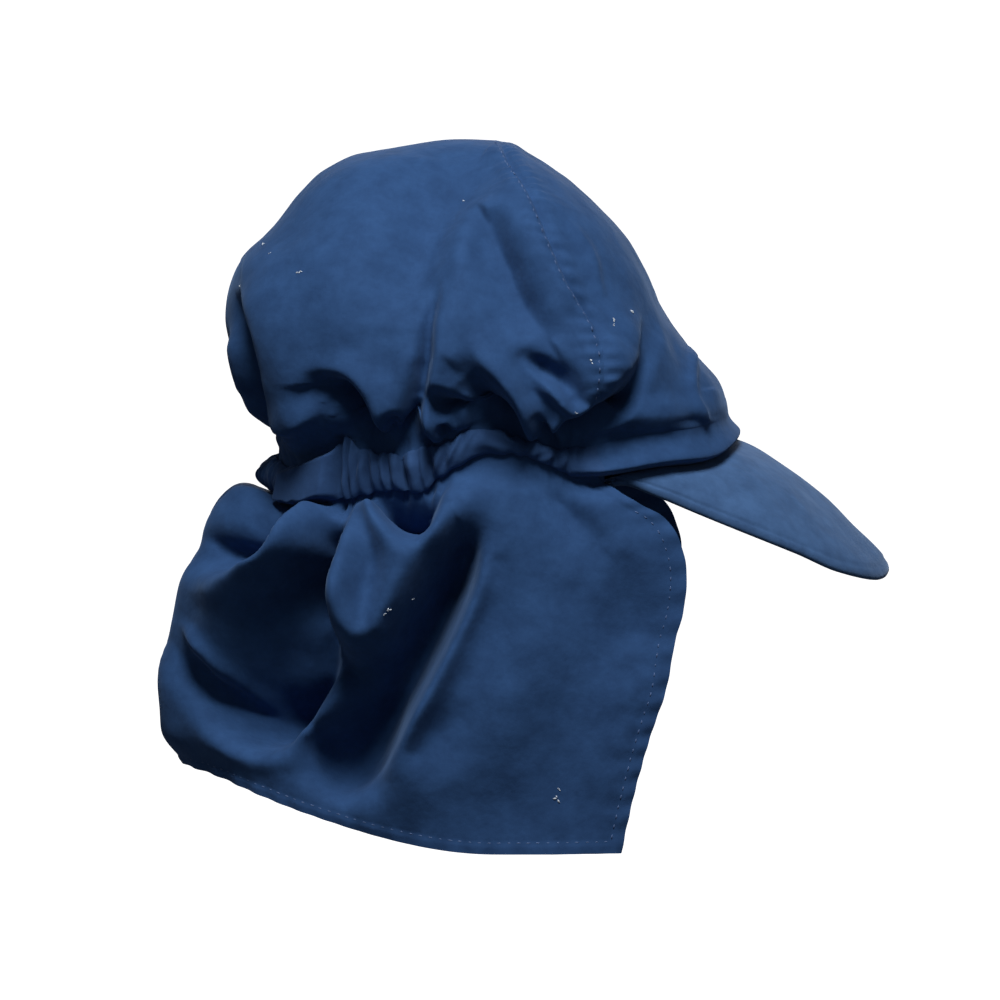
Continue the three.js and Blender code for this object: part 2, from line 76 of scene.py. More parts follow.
def smooth_step(value, low, high):
    """0 below low, 1 above high and a soft rise between them."""
    part = np.clip((value - low) / (high - low), 0, 1)
    return part * part * (3 - 2 * part)


def look_up(rows, key, column, at, level_ends=False):
    """One column of a table at any place, by a smooth curve through its rows."""
    keys, values = rows[key], rows[column]
    last = len(keys) - 1
    row = np.clip(np.searchsorted(keys, at) - 1, 0, last - 1)
    before, after = np.maximum(row - 1, 0), np.minimum(row + 2, last)
    span = keys[row + 1] - keys[row]
    part = np.clip((at - keys[row]) / span, 0, 1)
    slope_in = (values[row + 1] - values[before]) / (keys[row + 1] - keys[before])
    slope_out = (values[after] - values[row]) / (keys[after] - keys[row])
    if level_ends:
        slope_in = np.where(row == 0, 0, slope_in)
        slope_out = np.where(row == last - 1, 0, slope_out)
    square, cube = part**2, part**3
    return (
        (2 * cube - 3 * square + 1) * values[row]
        + (cube - 2 * square + part) * span * slope_in
        + (3 * square - 2 * cube) * values[row + 1]
        + (cube - square) * span * slope_out
    )


# %% [markdown]
# ## The forms under the folds
# A hat can be draped by a cloth simulation over a head, but then its folds fall where they like. Here
# each panel is a smooth form with folds laid on it one by one, so that they fall as on the real hat.
# The forms are rows of squared ovals, from the rim to the top and from the casing to the hem.

# %% The band round the head
band_heights = table("angle low high", [
    (0, 9, 19), (15, 6.5, 17.5), (30, 1, 15), (45, 0, 13.5), (62, -3, 12), (70, -2, 8.5),
    (82, 5, 11.5), (95, 5, 16), (106, -3, 10), (112, -9, 8.5), (120, -8, 6), (133, -12, 8.5),
    (147, -15, 0), (165, -12, 1), (180, -11.5, 1),
])
BAND_PLAN = {"front": 86.5, "back": 84.2, "side": 75}
RIM_SQUARENESS = 2.6


def folded(angle):
    """The same place on the wearer's right."""
    return np.where(angle > 180, 360 - angle, np.abs(angle))


def oval_reach(angle, front, back, side, squareness):
    """How far a squared oval reaches from its middle. A squareness of 2 gives a plain oval."""
    along, across = np.cos(np.radians(angle)), np.abs(np.sin(np.radians(angle)))
    length = np.maximum(np.where(along > 0, front, back), 1e-9)
    width = np.maximum(side, 1e-9)
    return ((np.abs(along) / length) ** squareness + (across / width) ** squareness) ** (-1 / squareness)


def point_at(angle, reach, height):
    """Points in space from their direction round the head, their reach and their height."""
    turn = np.radians(angle)
    return np.stack([reach * np.cos(turn), -reach * np.sin(turn), height + 0 * turn], axis=-1)


def band_reach(angle):
    return oval_reach(angle, BAND_PLAN["front"], BAND_PLAN["back"], BAND_PLAN["side"], RIM_SQUARENESS)


def band_edge(angle, column):
    return look_up(band_heights, "angle", column, folded(angle), True)


def end_share(angle):
    """1 straight ahead or straight back, 0 at the side."""
    return np.cos(np.radians(angle)) ** 2


def height_round_head(share, forward, side, front, back):
    """A height at the side that goes over into another one at the front or the back."""
    return side * (1 - share) + np.where(forward, front, back) * share


whole_turn = np.linspace(0, 360, 361)
band_line = point_at(whole_turn, band_reach(whole_turn), 0)
print("the band is", round(np.linalg.norm(np.diff(band_line, axis=0), axis=1).sum()), "mm round")


# %% The crown's form
crown_sections = table("rise front front_z back back_z side side_z", [
    (0.0, 87.5, 14, 84.2, 1, 75, 9),
    (0.1, 86.8, 21, 91.6, 19, 84.5, 18),
    (0.2, 83.5, 30, 99.7, 36.7, 87.5, 32.5),
    (0.3, 74.2, 41, 102.8, 55.8, 86.5, 51),
    (0.4, 64.6, 53.8, 98.7, 74, 80.5, 70),
    (0.5, 58.1, 68.4, 85.5, 88.4, 73, 86),
    (0.6, 50.5, 82.2, 73.4, 103.5, 62.5, 99),
    (0.7, 39.6, 93.9, 57.7, 114.6, 49.5, 108.5),
    (0.8, 27.1, 104.2, 38.7, 119.4, 34.5, 115.5),
    (0.9, 13.8, 113, 19.7, 122.1, 18, 120),
    (1.0, 0, 121.5, 0, 121.5, 0, 121.5),
])
TOP_SQUARENESS = 2.0
RIM_BLEND = 0.3  # share of the panel over which the band's own height fades out
RIM_PINCH = 0.09  # share of the panel that rolls in towards the casing
PINCH_INSET = 1  # how far inside the band the rolled edge ends
FRONT_FULLNESS = 0.3  # how far the crown rolls out over the peak
FULLNESS_REACH = 11  # how far up that fullness goes
RIM_TUCK = 3  # how far the edge of a panel reaches in behind the casing
TUCK_LENGTH = 3  # of the cloth next to the edge that reaches in
PULL_STARTS = TEMPLE - 14  # degrees: the elastic begins to draw the cloth in here
PULL_IS_FULL = TEMPLE + 2


def front_share(angle):
    """1 over the peak and 0 beside the casing."""
    return 1 - smooth_step(folded(angle), PULL_STARTS, PULL_IS_FULL)


def crown_form(angle, rise):
    """The smooth crown. rise is 0 at the casing and 1 at the top."""

    def value(column):
        return look_up(crown_sections, "rise", column, rise)

    forward = np.cos(np.radians(angle)) > 0
    squareness = RIM_SQUARENESS + (TOP_SQUARENESS - RIM_SQUARENESS) * rise
    share = end_share(angle)
    height = height_round_head(share, forward, value("side_z"), value("front_z"), value("back_z"))
    first = {name: column[0] for name, column in crown_sections.items()}
    rim = height_round_head(share, forward, first["side_z"], first["front_z"], first["back_z"])
    height = height + (band_edge(angle, "high") - rim) * np.maximum(1 - rise / RIM_BLEND, 0) ** 2
    reach = oval_reach(angle, value("front"), value("back"), value("side"), squareness)
    fullness = FRONT_FULLNESS * front_share(angle)
    reach = reach + fullness * np.exp(-((rise * CROWN_RISE_MM / FULLNESS_REACH) ** 2))
    pinch = np.maximum(1 - rise / RIM_PINCH, 0) ** 2 * (1 - front_share(angle))
    tucked = 1 - smooth_step(rise * CROWN_RISE_MM, 0, TUCK_LENGTH)
    height = height - RIM_TUCK * tucked * (1 - front_share(angle))
    return point_at(angle, reach + (band_reach(angle) - PINCH_INSET - reach) * pinch, height)


print("the crown's top stands", crown_sections["front_z"][-1], "mm above the middle of the opening")


# %% The flap's form
flap_sections = table("drop edge edge_y edge_z back back_z side side_z", [
    (0.0, 35.5, 67, -4, 85, -12, 75, 1),
    (0.1, 50, 75.5, -12, 101, -18.5, 79, -13.5),
    (0.2, 64, 76, -19.5, 111, -25.5, 81.5, -28),
    (0.3, 70.5, 77, -33.5, 114, -37, 83.5, -42),
    (0.4, 70.5, 78.5, -49.5, 118.7, -47.5, 85, -57),
    (0.5, 66.5, 80, -65.5, 122.7, -57.5, 86.5, -71),
    (0.6, 63.5, 81, -81.5, 124.7, -68.5, 88, -85.5),
    (0.7, 58.5, 82, -97, 126.2, -79.5, 89, -100),
    (0.8, 54, 83, -112, 127.5, -91, 90, -114),
    (0.9, 50, 84, -127.5, 127.2, -102, 91, -128.5),
    (1.0, 46.7, 85, -143.5, 123, -113, 92, -143.5),
])
FLAP_SQUARENESS = 2.4


def flap_edge_angle(drop):
    """Where the front edge of the flap lies, in degrees."""
    forward = look_up(flap_sections, "drop", "edge", drop)
    sideways = look_up(flap_sections, "drop", "edge_y", drop)
    return np.degrees(np.arctan2(sideways, forward))


def flap_form(angle, drop):
    """The smooth flap. drop is 0 at the casing and 1 at the hem."""

    def value(column):
        return look_up(flap_sections, "drop", column, drop)

    side = value("side")
    rest = 1 - (value("edge_y") / side) ** FLAP_SQUARENESS
    front = value("edge") / rest ** (1 / FLAP_SQUARENESS)
    reach = oval_reach(angle, front, value("back"), side, FLAP_SQUARENESS)
    forward = np.cos(np.radians(angle)) > 0
    share = end_share(angle) / np.where(forward, end_share(flap_edge_angle(drop)), 1)
    height = height_round_head(share, forward, value("side_z"), value("edge_z"), value("back_z"))
    first = {name: column[0] for name, column in flap_sections.items()}
    top = height_round_head(share, forward, first["side_z"], first["edge_z"], first["back_z"])
    height = height + (band_edge(angle, "low") - top) * np.maximum(1 - drop / RIM_BLEND, 0) ** 2
    pinch = np.maximum(1 - drop / RIM_PINCH, 0) ** 2
    height = height + RIM_TUCK * (1 - smooth_step(drop * FLAP_DROP_MM, 0, TUCK_LENGTH))
    return point_at(angle, reach + (band_reach(angle) - PINCH_INSET - reach) * pinch, height)


print("the flap's front corners hang", -flap_sections["edge_z"][-1], "mm below it")


# %% [markdown]
# ## Folds
# Each fold of the real hat is one row: the course that its crest or its floor follows, as seen from
# the wearer's right in millimetres forward and up, its height along that course (plus stands out,
# minus sinks in), and how wide it is to the left and to the right of the way it runs. Cloth has a
# gentle slope on one side of a fold and a steep one on the other, so the two widths differ. Folds can
# also be sculpted by hand, which is quicker for one hat but leaves nothing that can be read or changed.

# %% Courses on the cloth
def fold(name, course, heights, left, right, shape="round", seen_from="side"):
    """shape is round for a soft fold and straight for even slopes that meet in a crisp line."""
    return dict(name=name, course=course, heights=heights, left=left, right=right, shape=shape,
                seen_from=seen_from)


COURSE_STEPS = 5  # short steps between two points of a course
COURSE_SMOOTHING = 4  # times that a course is evened out on the cloth


def rounded_course(course):
    """The course with smooth bends: a curve through its points."""
    points = np.array(course, float)
    padded = np.vstack([2 * points[0] - points[1], points, 2 * points[-1] - points[-2]])
    steps = np.linspace(0, 1, COURSE_STEPS, endpoint=False)[:, None]
    pieces = []
    for k in range(len(points) - 1):
        a, b, c, d = padded[k:k + 4]
        pieces.append(0.5 * (2 * b + (c - a) * steps + (2 * a - 5 * b + 4 * c - d) * steps**2
                             + (3 * b - a - 3 * c + d) * steps**3))
    return np.vstack([*pieces, points[-1:]])


def seen_from_side(points):
    """Where points appear from the wearer's right: millimetres forward and up."""
    lift = math.radians(SIDE_VIEW_LIFT)
    return np.stack([points[..., 0], points[..., 2] * math.cos(lift) + points[..., 1] * math.sin(lift)], -1)


def course_on_cloth(row, form_points):
    """The course of a fold as points in space, on the wearer's right or at the back of a form."""
    if row["seen_from"] == "side":
        near = form_points[form_points[:, 1] <= 0]
        seen = seen_from_side(near)
    else:
        near = form_points[(form_points[:, 0] <= 0) & (form_points[:, 1] <= 0)]
        seen = np.stack([-near[:, 1], near[:, 2]], -1)
    flat = rounded_course(row["course"])
    nearest = [int(np.argmin(((seen - place) ** 2).sum(-1))) for place in flat]
    line = near[nearest]
    for _ in range(COURSE_SMOOTHING):
        line[1:-1] = (line[:-2] + 2 * line[1:-1] + line[2:]) / 4
    return line


# %% How far each fold moves the cloth
FAR_SIDE_DEPTH = 0.85  # the folds of the wearer's left are a little flatter
FAR_SIDE_SHIFT = 5  # and lie this much further back
BLEND_POWER = 3  # two folds that overlap don't add up: the deeper one wins
FOLD_REACH = 2.6  # widths from its course beyond which a round fold is as good as gone
CREST_SHARPNESS = 1.5  # how quickly the width of one side goes over into that of the other
EVEN_SLOPE = 1.2  # 1 gives a straight slope, and a little more rounds its foot


def spread_along(values, place):
    """Values given at even steps along a course, at any share of its length."""
    values = np.atleast_1d(values)
    return np.interp(place, np.linspace(0, 1, len(values)), values)


def one_fold(row, line, points, normals, hand):
    """Height of one fold at each point. hand is 1 on the wearer's right and -1 on the left."""
    lift = np.zeros(len(points))
    reach = FOLD_REACH * max(np.max(row["left"]), np.max(row["right"]))
    near = np.all((points > line.min(0) - reach) & (points < line.max(0) + reach), axis=1)
    spots, outward = points[near], normals[near]
    start, along = line[:-1], np.diff(line, axis=0)
    length = np.maximum(np.linalg.norm(along, axis=1), 1e-6)
    run = np.concatenate([[0], np.cumsum(length)])
    best = np.full(len(spots), np.inf)
    place = np.zeros(len(spots))
    side = np.zeros(len(spots))
    for k in range(len(along)):
        offset = spots - start[k]
        part = np.clip(offset @ along[k] / length[k] ** 2, 0, 1)
        away = offset - part[:, None] * along[k]
        distance = np.linalg.norm(away, axis=1)
        closer = distance < best
        best = np.where(closer, distance, best)
        place = np.where(closer, (run[k] + part * length[k]) / run[-1], place)
        turn = np.einsum("ij,ij->i", np.cross(along[k] / length[k], away), outward) * hand
        side = np.where(closer, turn, side)
    blend = 0.5 + 0.5 * np.tanh(CREST_SHARPNESS * side)
    width = spread_along(row["right"], place) * (1 - blend) + spread_along(row["left"], place) * blend
    if row["shape"] == "straight":
        profile = np.maximum(1 - best / width, 0) ** EVEN_SLOPE
    else:
        profile = np.exp(-((best / width) ** 2))
    lift[near] = spread_along(row["heights"], place) * profile
    return lift


def folds_on(rows, points, normals, form_points):
    """Height of all folds at each point, on both sides of the hat."""
    ridges = np.zeros(len(points))
    valleys = np.zeros(len(points))
    for row in rows:
        line = course_on_cloth(row, form_points)
        far_line = line * [1, -1, 1] - [FAR_SIDE_SHIFT * (row["seen_from"] == "side"), 0, 0]
        for hand, course in ((1, line), (-1, far_line)):
            depth = 1 if hand == 1 else FAR_SIDE_DEPTH
            lift = depth * one_fold(row, course, points, normals, hand)
            ridges += np.maximum(lift, 0) ** BLEND_POWER
            valleys += np.maximum(-lift, 0) ** BLEND_POWER
    return ridges ** (1 / BLEND_POWER) - valleys ** (1 / BLEND_POWER)


NOISE_WAVES = 12


def soft_noise(points, size, seed):
    """Smooth random waves of about this size, mostly between -1 and 1."""
    random = np.random.default_rng(seed)
    total = np.zeros(len(points))
    for _ in range(NOISE_WAVES):
        way = random.normal(size=3)
        way *= 2 * math.pi / (size * random.uniform(0.7, 1.5) * np.linalg.norm(way))
        total += np.sin(points @ way + random.uniform(0, 2 * math.pi))
    return 2 * total / NOISE_WAVES


# %% [markdown]
# ## From a form to a sheet of cloth
# A panel could be cut from a subdivided sphere, but a grid follows the cut of the real cloth. The grid
# from bmesh gives the sheet its faces. Each point of it has a share across and a share up, which the
# form turns into a place in space. The folds then push it in or out along the direction in which the
# form faces there. Solidify gives the sheet its thickness at the end.

# %% A sheet of cloth
WELD = 0.02  # points closer than this become one, as at the top of the crown
NEARLY_LEVEL = 0.98  # where the cloth lies flatter than this, its side can't be told from the middle


def grid_mesh(name, columns, rows, place):
    """A fine sheet. place(across, up) gives the points in millimetres as an array of rows."""
    mesh = bpy.data.meshes.new(name)
    bm = bmesh.new()
    bm.loops.layers.uv.new("cloth")
    bmesh.ops.create_grid(bm, x_segments=columns, y_segments=rows, size=0.5, calc_uvs=True)
    flat = np.array([vertex.co[:2] for vertex in bm.verts]) + 0.5
    order = np.lexsort((np.rint(flat[:, 0] * columns), np.rint(flat[:, 1] * rows)))
    across = flat[order, 0].reshape(rows + 1, columns + 1)
    up = flat[order, 1].reshape(rows + 1, columns + 1)
    points = place(across, up).reshape(-1, 3) * MM
    vertices = list(bm.verts)
    for spot, index in zip(points, order):
        vertices[index].co = spot
    bm.to_mesh(mesh)
    bm.free()
    piece = bpy.data.objects.new(name, mesh)
    bpy.context.collection.objects.link(piece)
    return piece


def facing(points):
    """Outward direction at each point of a grid of points."""
    across = np.gradient(points, axis=1)
    up = np.gradient(points, axis=0)
    normal = np.cross(across, up)
    size = np.linalg.norm(normal, axis=-1, keepdims=True)
    normal = normal / np.maximum(size, 1e-9)
    radial = points * [1, 1, 0]
    inward = (normal * radial).sum(-1, keepdims=True) < 0
    return np.where(inward & (np.abs(normal[..., 2:]) < NEARLY_LEVEL), -normal, normal)


def outward_of(form, angle, share, share_grows_up):
    """Outward direction of a form, from its slope round the head and along the panel."""
    turn = 0.5  # degrees
    step = 0.004  # share of the panel
    around = form(angle + turn, share) - form(angle - turn, share)
    along = form(angle, np.minimum(share + step, 1)) - form(angle, np.maximum(share - step, 0))
    normal = np.cross(along, around) if share_grows_up else np.cross(around, along)
    return normal / np.maximum(np.linalg.norm(normal, axis=-1, keepdims=True), 1e-9)


def finish_cloth(piece, thickness):
    """Closes the pole, turns the faces outwards, smooths the shading and gives the cloth a wall."""
    bm = bmesh.new()
    bm.from_mesh(piece.data)
    bmesh.ops.remove_doubles(bm, verts=bm.verts, dist=WELD * MM)
    bmesh.ops.recalc_face_normals(bm, faces=bm.faces)
    outward = sum(face.normal.x * face.calc_center_median().x + face.normal.y * face.calc_center_median().y
                  for face in bm.faces)
    if outward < 0:
        bmesh.ops.reverse_faces(bm, faces=bm.faces)
    for face in bm.faces:
        face.smooth = True
    for edge in bm.edges:
        edge.smooth = not edge.is_boundary
    bm.to_mesh(piece.data)
    bm.free()
    wall = piece.modifiers.new("wall", "SOLIDIFY")
    wall.thickness = thickness * MM
    wall.offset = -1
    print(piece.name, "has", len(piece.data.polygons), "faces before its wall")


# %% [markdown]
# ## Gathers
# The elastic draws the cloth together, so grooves run from the casing into the crown and the flap.
# They are uneven: deep ones with a block of slack cloth between them, and fine ones. A bump texture
# could draw them, but they show in the outline of the hat, so they are cut into the mesh. Those on the
# wearer's right stand where they do on the real hat, and the others are spaced by chance.

# %% Where the grooves are
side_grooves = table("forward depth width", [
    (-84, 2.4, 2.2), (-58.8, 4.4, 1.2), (-55.8, 3.2, 1), (-52.5, 1.2, 1.5), (-48, 2.2, 1.2),
    (-44, 1.4, 1.3), (-40.5, 2.4, 1.1), (-35, 4.4, 1.2), (-33.4, 1.5, 0.8), (-29, 1.4, 1.2),
    (-25, 3.6, 1.4), (-19.5, 1.2, 1.5), (-12, 0.7, 1.8), (-3, 0.5, 2.2), (8, 0.7, 1.8),
    (16, 1.2, 1.5), (21.5, 1.8, 1.4), (26.5, 1.4, 1.2), (31, 1.6, 1.3), (36, 1.1, 1.3),
])
CHANCE_STARTS = 151.0  # degrees: from here round the back the grooves are spaced by chance
CHANCE_ENDS = 360 - TEMPLE - 4
CHANCE_STEP = 4.6  # their mean distance in degrees
# the band's right side in small steps, to find an angle from a distance forward
quarter = np.linspace(TEMPLE - 12, 180, 1200)
quarter_forward = point_at(quarter, band_reach(quarter), 0)[:, 0]


def band_angle(forward):
    """Angle of the band's point that lies this far forward, on the wearer's right."""
    return np.interp(-np.asarray(forward, float), -quarter_forward, quarter)


def all_grooves():
    random = np.random.default_rng(11)
    angles = list(band_angle(side_grooves["forward"]))
    depths, widths = list(side_grooves["depth"]), list(side_grooves["width"])
    place = CHANCE_STARTS
    while place < CHANCE_ENDS:
        angles.append(place)
        depths.append(random.uniform(0.9, 2.8))
        widths.append(random.uniform(1.1, 1.7))
        place += CHANCE_STEP * random.uniform(0.6, 1.5)
    return np.array(angles), np.array(depths), np.array(widths)


groove_angles, groove_depths, groove_widths = all_grooves()


def groove_depth(angle, widen=1.0, slant=0.0):
    """How deep the grooves are at each angle, the deepest one counting."""
    around = np.mod(angle + slant, 360)
    deepest = np.zeros(np.shape(around))
    for place, depth, width in zip(groove_angles, groove_depths, groove_widths):
        away = (around - place) * DEGREE_MM / (width * widen)
        deepest = np.maximum(deepest, depth * np.exp(-(away**2)))
    return deepest


print(len(groove_angles), "grooves round the casing")

# %% [markdown]
# ## The crown
# The two panels of the crown meet in a seam from temple to temple. Between its seam and the casing
# the big rear panel bulges, tucks in and folds. A flat panel could be drawn together by a simulated
# elastic, but the real hat's own folds are wanted, so each one has its row. The seam is a narrow tuck
# with short puckers on both sides.

# %% The folds of the crown
crown_folds = [
    fold("upper valley",
         [(-8.7, 114), (-15.6, 106.4), (-22.8, 95), (-28.5, 80.6), (-33.4, 65.4), (-37.6, 50.2)],
         (-6, -13, -15, -13, -10, -5), 14, 24),
    fold("ridge behind the seam",
         [(-9.5, 105.6), (-16, 93.1), (-20.1, 76.8)],
         (1.5, 3, 2), 10, 8),
    fold("crease behind the ear",
         [(-22.8, 69.9), (-23.9, 62.3), (-26.2, 43.7), (-27.4, 34.2), (-28.9, 24.7), (-30.8, 15.2),
          (-32.3, 3.8)],
         (-3, -8, -9, -11, -12, -13, -12), 2.4, 4.2),
    fold("roll in front of the crease",
         [(-17.9, 64.6), (-20.9, 49.4), (-22.8, 34.2), (-25.1, 23.9), (-25.5, 16)],
         (1, 3, 4.5, 4.5, 3), 12, 4),
    fold("bulge behind the crease",
         [(-50.2, 98.8), (-55.9, 79.8), (-57.8, 57)],
         (1, 3, 3), 22, 28),
    fold("valley beside the seam",
         [(-3.4, 93.1), (1.1, 81.7), (5.7, 72.2), (11, 59.3), (17.9, 47.1)],
         (-8, -10, -10, -9, -4), 5.5, 15),
    fold("swell at the seam",
         [(8.7, 93.1), (18.2, 74.1), (25.8, 60.8)],
         (1, 2, 1.5), 6, 6),
    fold("slanting ridge",
         [(-11.4, 46.4), (-5.7, 38), (1.9, 28.9), (9.1, 19.4), (12.9, 8.4)],
         (1, 5, 7, 7, 5), 10, 4),
    fold("valley over the slanting ridge",
         [(1.1, 43.7), (8.7, 33.4), (14.8, 22.8), (16.3, 15.2)],
         (-1.5, -4, -6, -5), 6, 6),
    fold("three-cornered hollow",
         [(-12.2, 31.2), (-6.5, 25.8), (1.1, 17.5), (5.7, 8.4)],
         (-3, -11, -16, -17), 5, 10),
    fold("round hollow over the lip",
         [(-23.9, 22), (-19.4, 19.4), (-14.1, 17.9), (-9.1, 15.6)],
         (-8, -12, -13, -10), 5, 6.5),
    fold("ridge between the hollows",
         [(-12.9, 22.8), (-11.8, 15.2), (-11.8, 10.6)],
         (2, 4.5, 3), 3, 3),
    fold("lip",
         [(-28.9, 20.9), (-26.6, 13.3), (-21.7, 7.6), (-16, 7.2), (-12.5, 9.1)],
         (2, 4, 4.5, 4.5, 2), 2.6, 2.6),
    fold("upper lip",
         [(-25.8, 17.1), (-21.7, 14.4), (-17.1, 12.2), (-12.9, 9.1)],
         (1.5, 3, 3, 1.5), 2.2, 2.2),
    fold("hole in the lip",
         [(-20.5, 11.4), (-17.9, 9.9)],
         (-5, -5), 2.4, 2.4),
    fold("slot",
         [(15.6, 15.2), (18.6, 9.1), (22, 3.8)],
         (-5, -9, -9), 3, 3.4),
    fold("tongue at the temple",
         [(12.5, 26.6), (19.4, 25.5), (25.8, 19.4), (30, 17.9)],
         (2.5, 5.5, 6, 3.5), 5.5, 3.4),
    fold("root of the tongue",
         [(23.2, 16.7), (21.3, 12.2), (23.2, 7.2)],
         (3, 5, 4), 3, 3),
    fold("hollow over the tongue",
         [(11, 38), (17.9, 34.2), (23.9, 30), (29.3, 24.3)],
         (-5, -9, -9, -5), 5, 4.5),
    fold("big front hollow",
         [(24.7, 9.1), (33.1, 11), (42.2, 15.2), (49.8, 21.7), (55.5, 29.6), (57, 38)],
         (-10, -18, -20, -17, -10, -5), 9, 7, "straight"),
    fold("fullness over the front hollow",
         [(30, 23.9), (38, 27), (46, 33.1), (52.1, 39.9)],
         (4, 8, 8, 4), 16, 5),
    fold("flat above the front roll",
         [(44.1, 23.9), (55.9, 25.1), (68, 27), (77.9, 28.1)],
         (-3, -5, -5, -3), 14, 9),
    fold("soft front valley",
         [(54.7, 29.3), (57.4, 38), (59.3, 49.4)],
         (-6, -4, -2), 9, 7),
    fold("upper front crease",
         [(29.6, 85.9), (35.7, 76.4), (38.4, 62.3)],
         (0.8, 1.6, 1), 3, 3),
    fold("lower front crease",
         [(41, 43.7), (44.5, 38.8), (47.1, 34.6), (50.9, 30.8)],
         (1.5, 3, 3, 2), 2.8, 2.8),
    fold("front corner line",
         [(73, 41.8), (74.5, 36.1), (76, 28.5), (77.5, 20.9), (79.4, 12.2), (81.7, 4.9)],
         (1.5, 2.6, 2.8, 2.6, 2.2, 1.2), 2.6, 2.6),
    fold("hollow behind the corner",
         [(69.9, 39.9), (71.8, 25.1), (74.9, 9.9)],
         (-1.8, -2.6, -2), 5, 10),
    fold("fullness over the casing",
         [(-87, 27.4), (-81.3, 27.4), (-74.9, 28.9), (-68, 30.8), (-61.9, 32.7)],
         (2, 4, 5, 4, 2), 16, 12),
    fold("fullness that hangs over the casing",
         [(-82.5, 14.4), (-77.9, 13.7), (-73, 15.2), (-68, 19)],
         (4, 8, 9, 5), 13, 3.4),
    fold("crescent ridge",
         [(-66.5, 33.4), (-57.8, 31.9), (-52.1, 25.8), (-47.1, 16.3), (-45.2, 7.6)],
         (2, 4, 5, 5, 3), 10, 3.4),
    fold("crescent hollow",
         [(-65, 27.4), (-58.5, 26.2), (-52.8, 19), (-49, 10.6), (-42.9, 3.8)],
         (-8, -14, -16, -15, -12), 4.5, 8),
    fold("small hollow",
         [(-39.1, 13.7), (-39.1, 3.8)],
         (-7, -9), 3.6, 3.4),
    fold("small ridge",
         [(-44.1, 15.2), (-43.3, 4.9)],
         (2, 2.5), 2.5, 2.5),
    fold("low back ridge",
         [(-73, 22.8), (-73, 11.4), (-74.9, 4.6)],
         (2, 3, 2), 6, 8),
    fold("back crest",
         [(-93.9, 64.6), (-88.5, 51.7), (-85.1, 39.9), (-82.8, 28.5), (-80.9, 16.7)],
         (2.5, 5, 5.5, 5, 3.5), 22, 8),
    fold("back hollow",
         [(-98.4, 55.9), (-94.2, 44.8), (-90.8, 32.3), (-88.2, 19), (-85.1, 7.6)],
         (-5, -10, -12, -12, -9), 6, 8),
    fold("lower back bulge",
         [(-98.4, 41), (-95, 28.5)],
         (4, 4), 7, 7),
    fold("hollow at the nape", [(0, 30), (0, 16), (0, 6)], (-4, -8, -8), 10, 10, seen_from="back"),
    fold("ridge beside the nape", [(22, 34), (22, 18), (22, 8)], (2, 4, 3), 9, 9, seen_from="back"),
]
print(len(crown_folds), "folds on the crown, the first is the", crown_folds[0]["name"])

# %% The seam and the small wrinkles of the crown
seam_course = table("rise angle", [
    (0, TEMPLE), (0.15, 65), (0.33, 65.5), (0.42, 71.5), (0.6, 76.5), (1, 84),
])
TOP_FADE = 0.25  # share of the crown over which the folds die out below the top
RIM_FADE = 0.05  # share of a panel over which they grow from the casing
SEAM_TUCK = 1.0  # how deep the seam lies between the two rounded edges
SEAM_ROUND = 1.2  # how far from the seam the edges are rounded
SEAM_SWELL = 0.7  # how far the cloth swells up beside the seam
SWELL_AWAY = 4  # from the seam
SWELL_WIDTH = 3
PUCKER_PITCH = 5.2  # along the seam
PUCKER_HEIGHT = 1.6
PUCKER_REACH = 4  # how far the puckers run out from the seam
GATHER_FADE = 7.65  # the gathers lose most of their depth over this much of the crown and the flap
FINE_GATHER = 0.5  # height of the fine ripples beside the deep ones
FINE_FADE = 5  # they die out sooner


def seam_angle(rise):
    return look_up(seam_course, "rise", "angle", rise)


def seam_relief(angle, rise, reach):
    """The tuck of the seam and the puckers on both sides of it."""
    away = np.abs(folded(angle) - seam_angle(rise)) * np.radians(1) * reach
    tuck = -SEAM_TUCK * np.exp(-((away / SEAM_ROUND) ** 2))
    swell = SEAM_SWELL * np.exp(-(((away - SWELL_AWAY) / SWELL_WIDTH) ** 2))
    uneven = np.sin(rise * CROWN_RISE_MM / 23) + 0.6 * np.sin(rise * CROWN_RISE_MM / 9.1 + 1)
    wave = np.cos(2 * math.pi * rise * CROWN_RISE_MM / PUCKER_PITCH + 2.6 * uneven)
    side_shift = np.where(folded(angle) > seam_angle(rise), 0, 2)  # the two sides pucker differently
    wave = wave * (0.6 + 0.4 * np.sin(rise * CROWN_RISE_MM / 6.3 + side_shift))
    puckers = PUCKER_HEIGHT * wave * (away / 2) * np.exp(-away / (PUCKER_REACH / 2))
    steady = smooth_step(rise, 0.02, 0.1) * smooth_step(1 - rise, 0.02, 0.15)
    return (tuck * (0.4 + 0.6 * smooth_step(rise, 0.25, 0.4)) + swell + puckers) * steady


def gather_relief(angle, distance):
    """Grooves that run from the casing into a panel and die out."""
    beside = 1 - front_share(angle)
    fade = np.exp(-distance / GATHER_FADE) * smooth_step(distance, -1, 3)
    fine = np.cos(folded(angle) * 1.9 + 3 * np.sin(angle * 0.21)) * np.exp(-distance / FINE_FADE)
    shirred = np.clip(groove_depth(angle, 4) / 2.5, 0, 1) ** 2  # 1 where the deep grooves are near
    return beside * (-groove_depth(angle, 1.6) * fade + FINE_GATHER * fine * shirred)


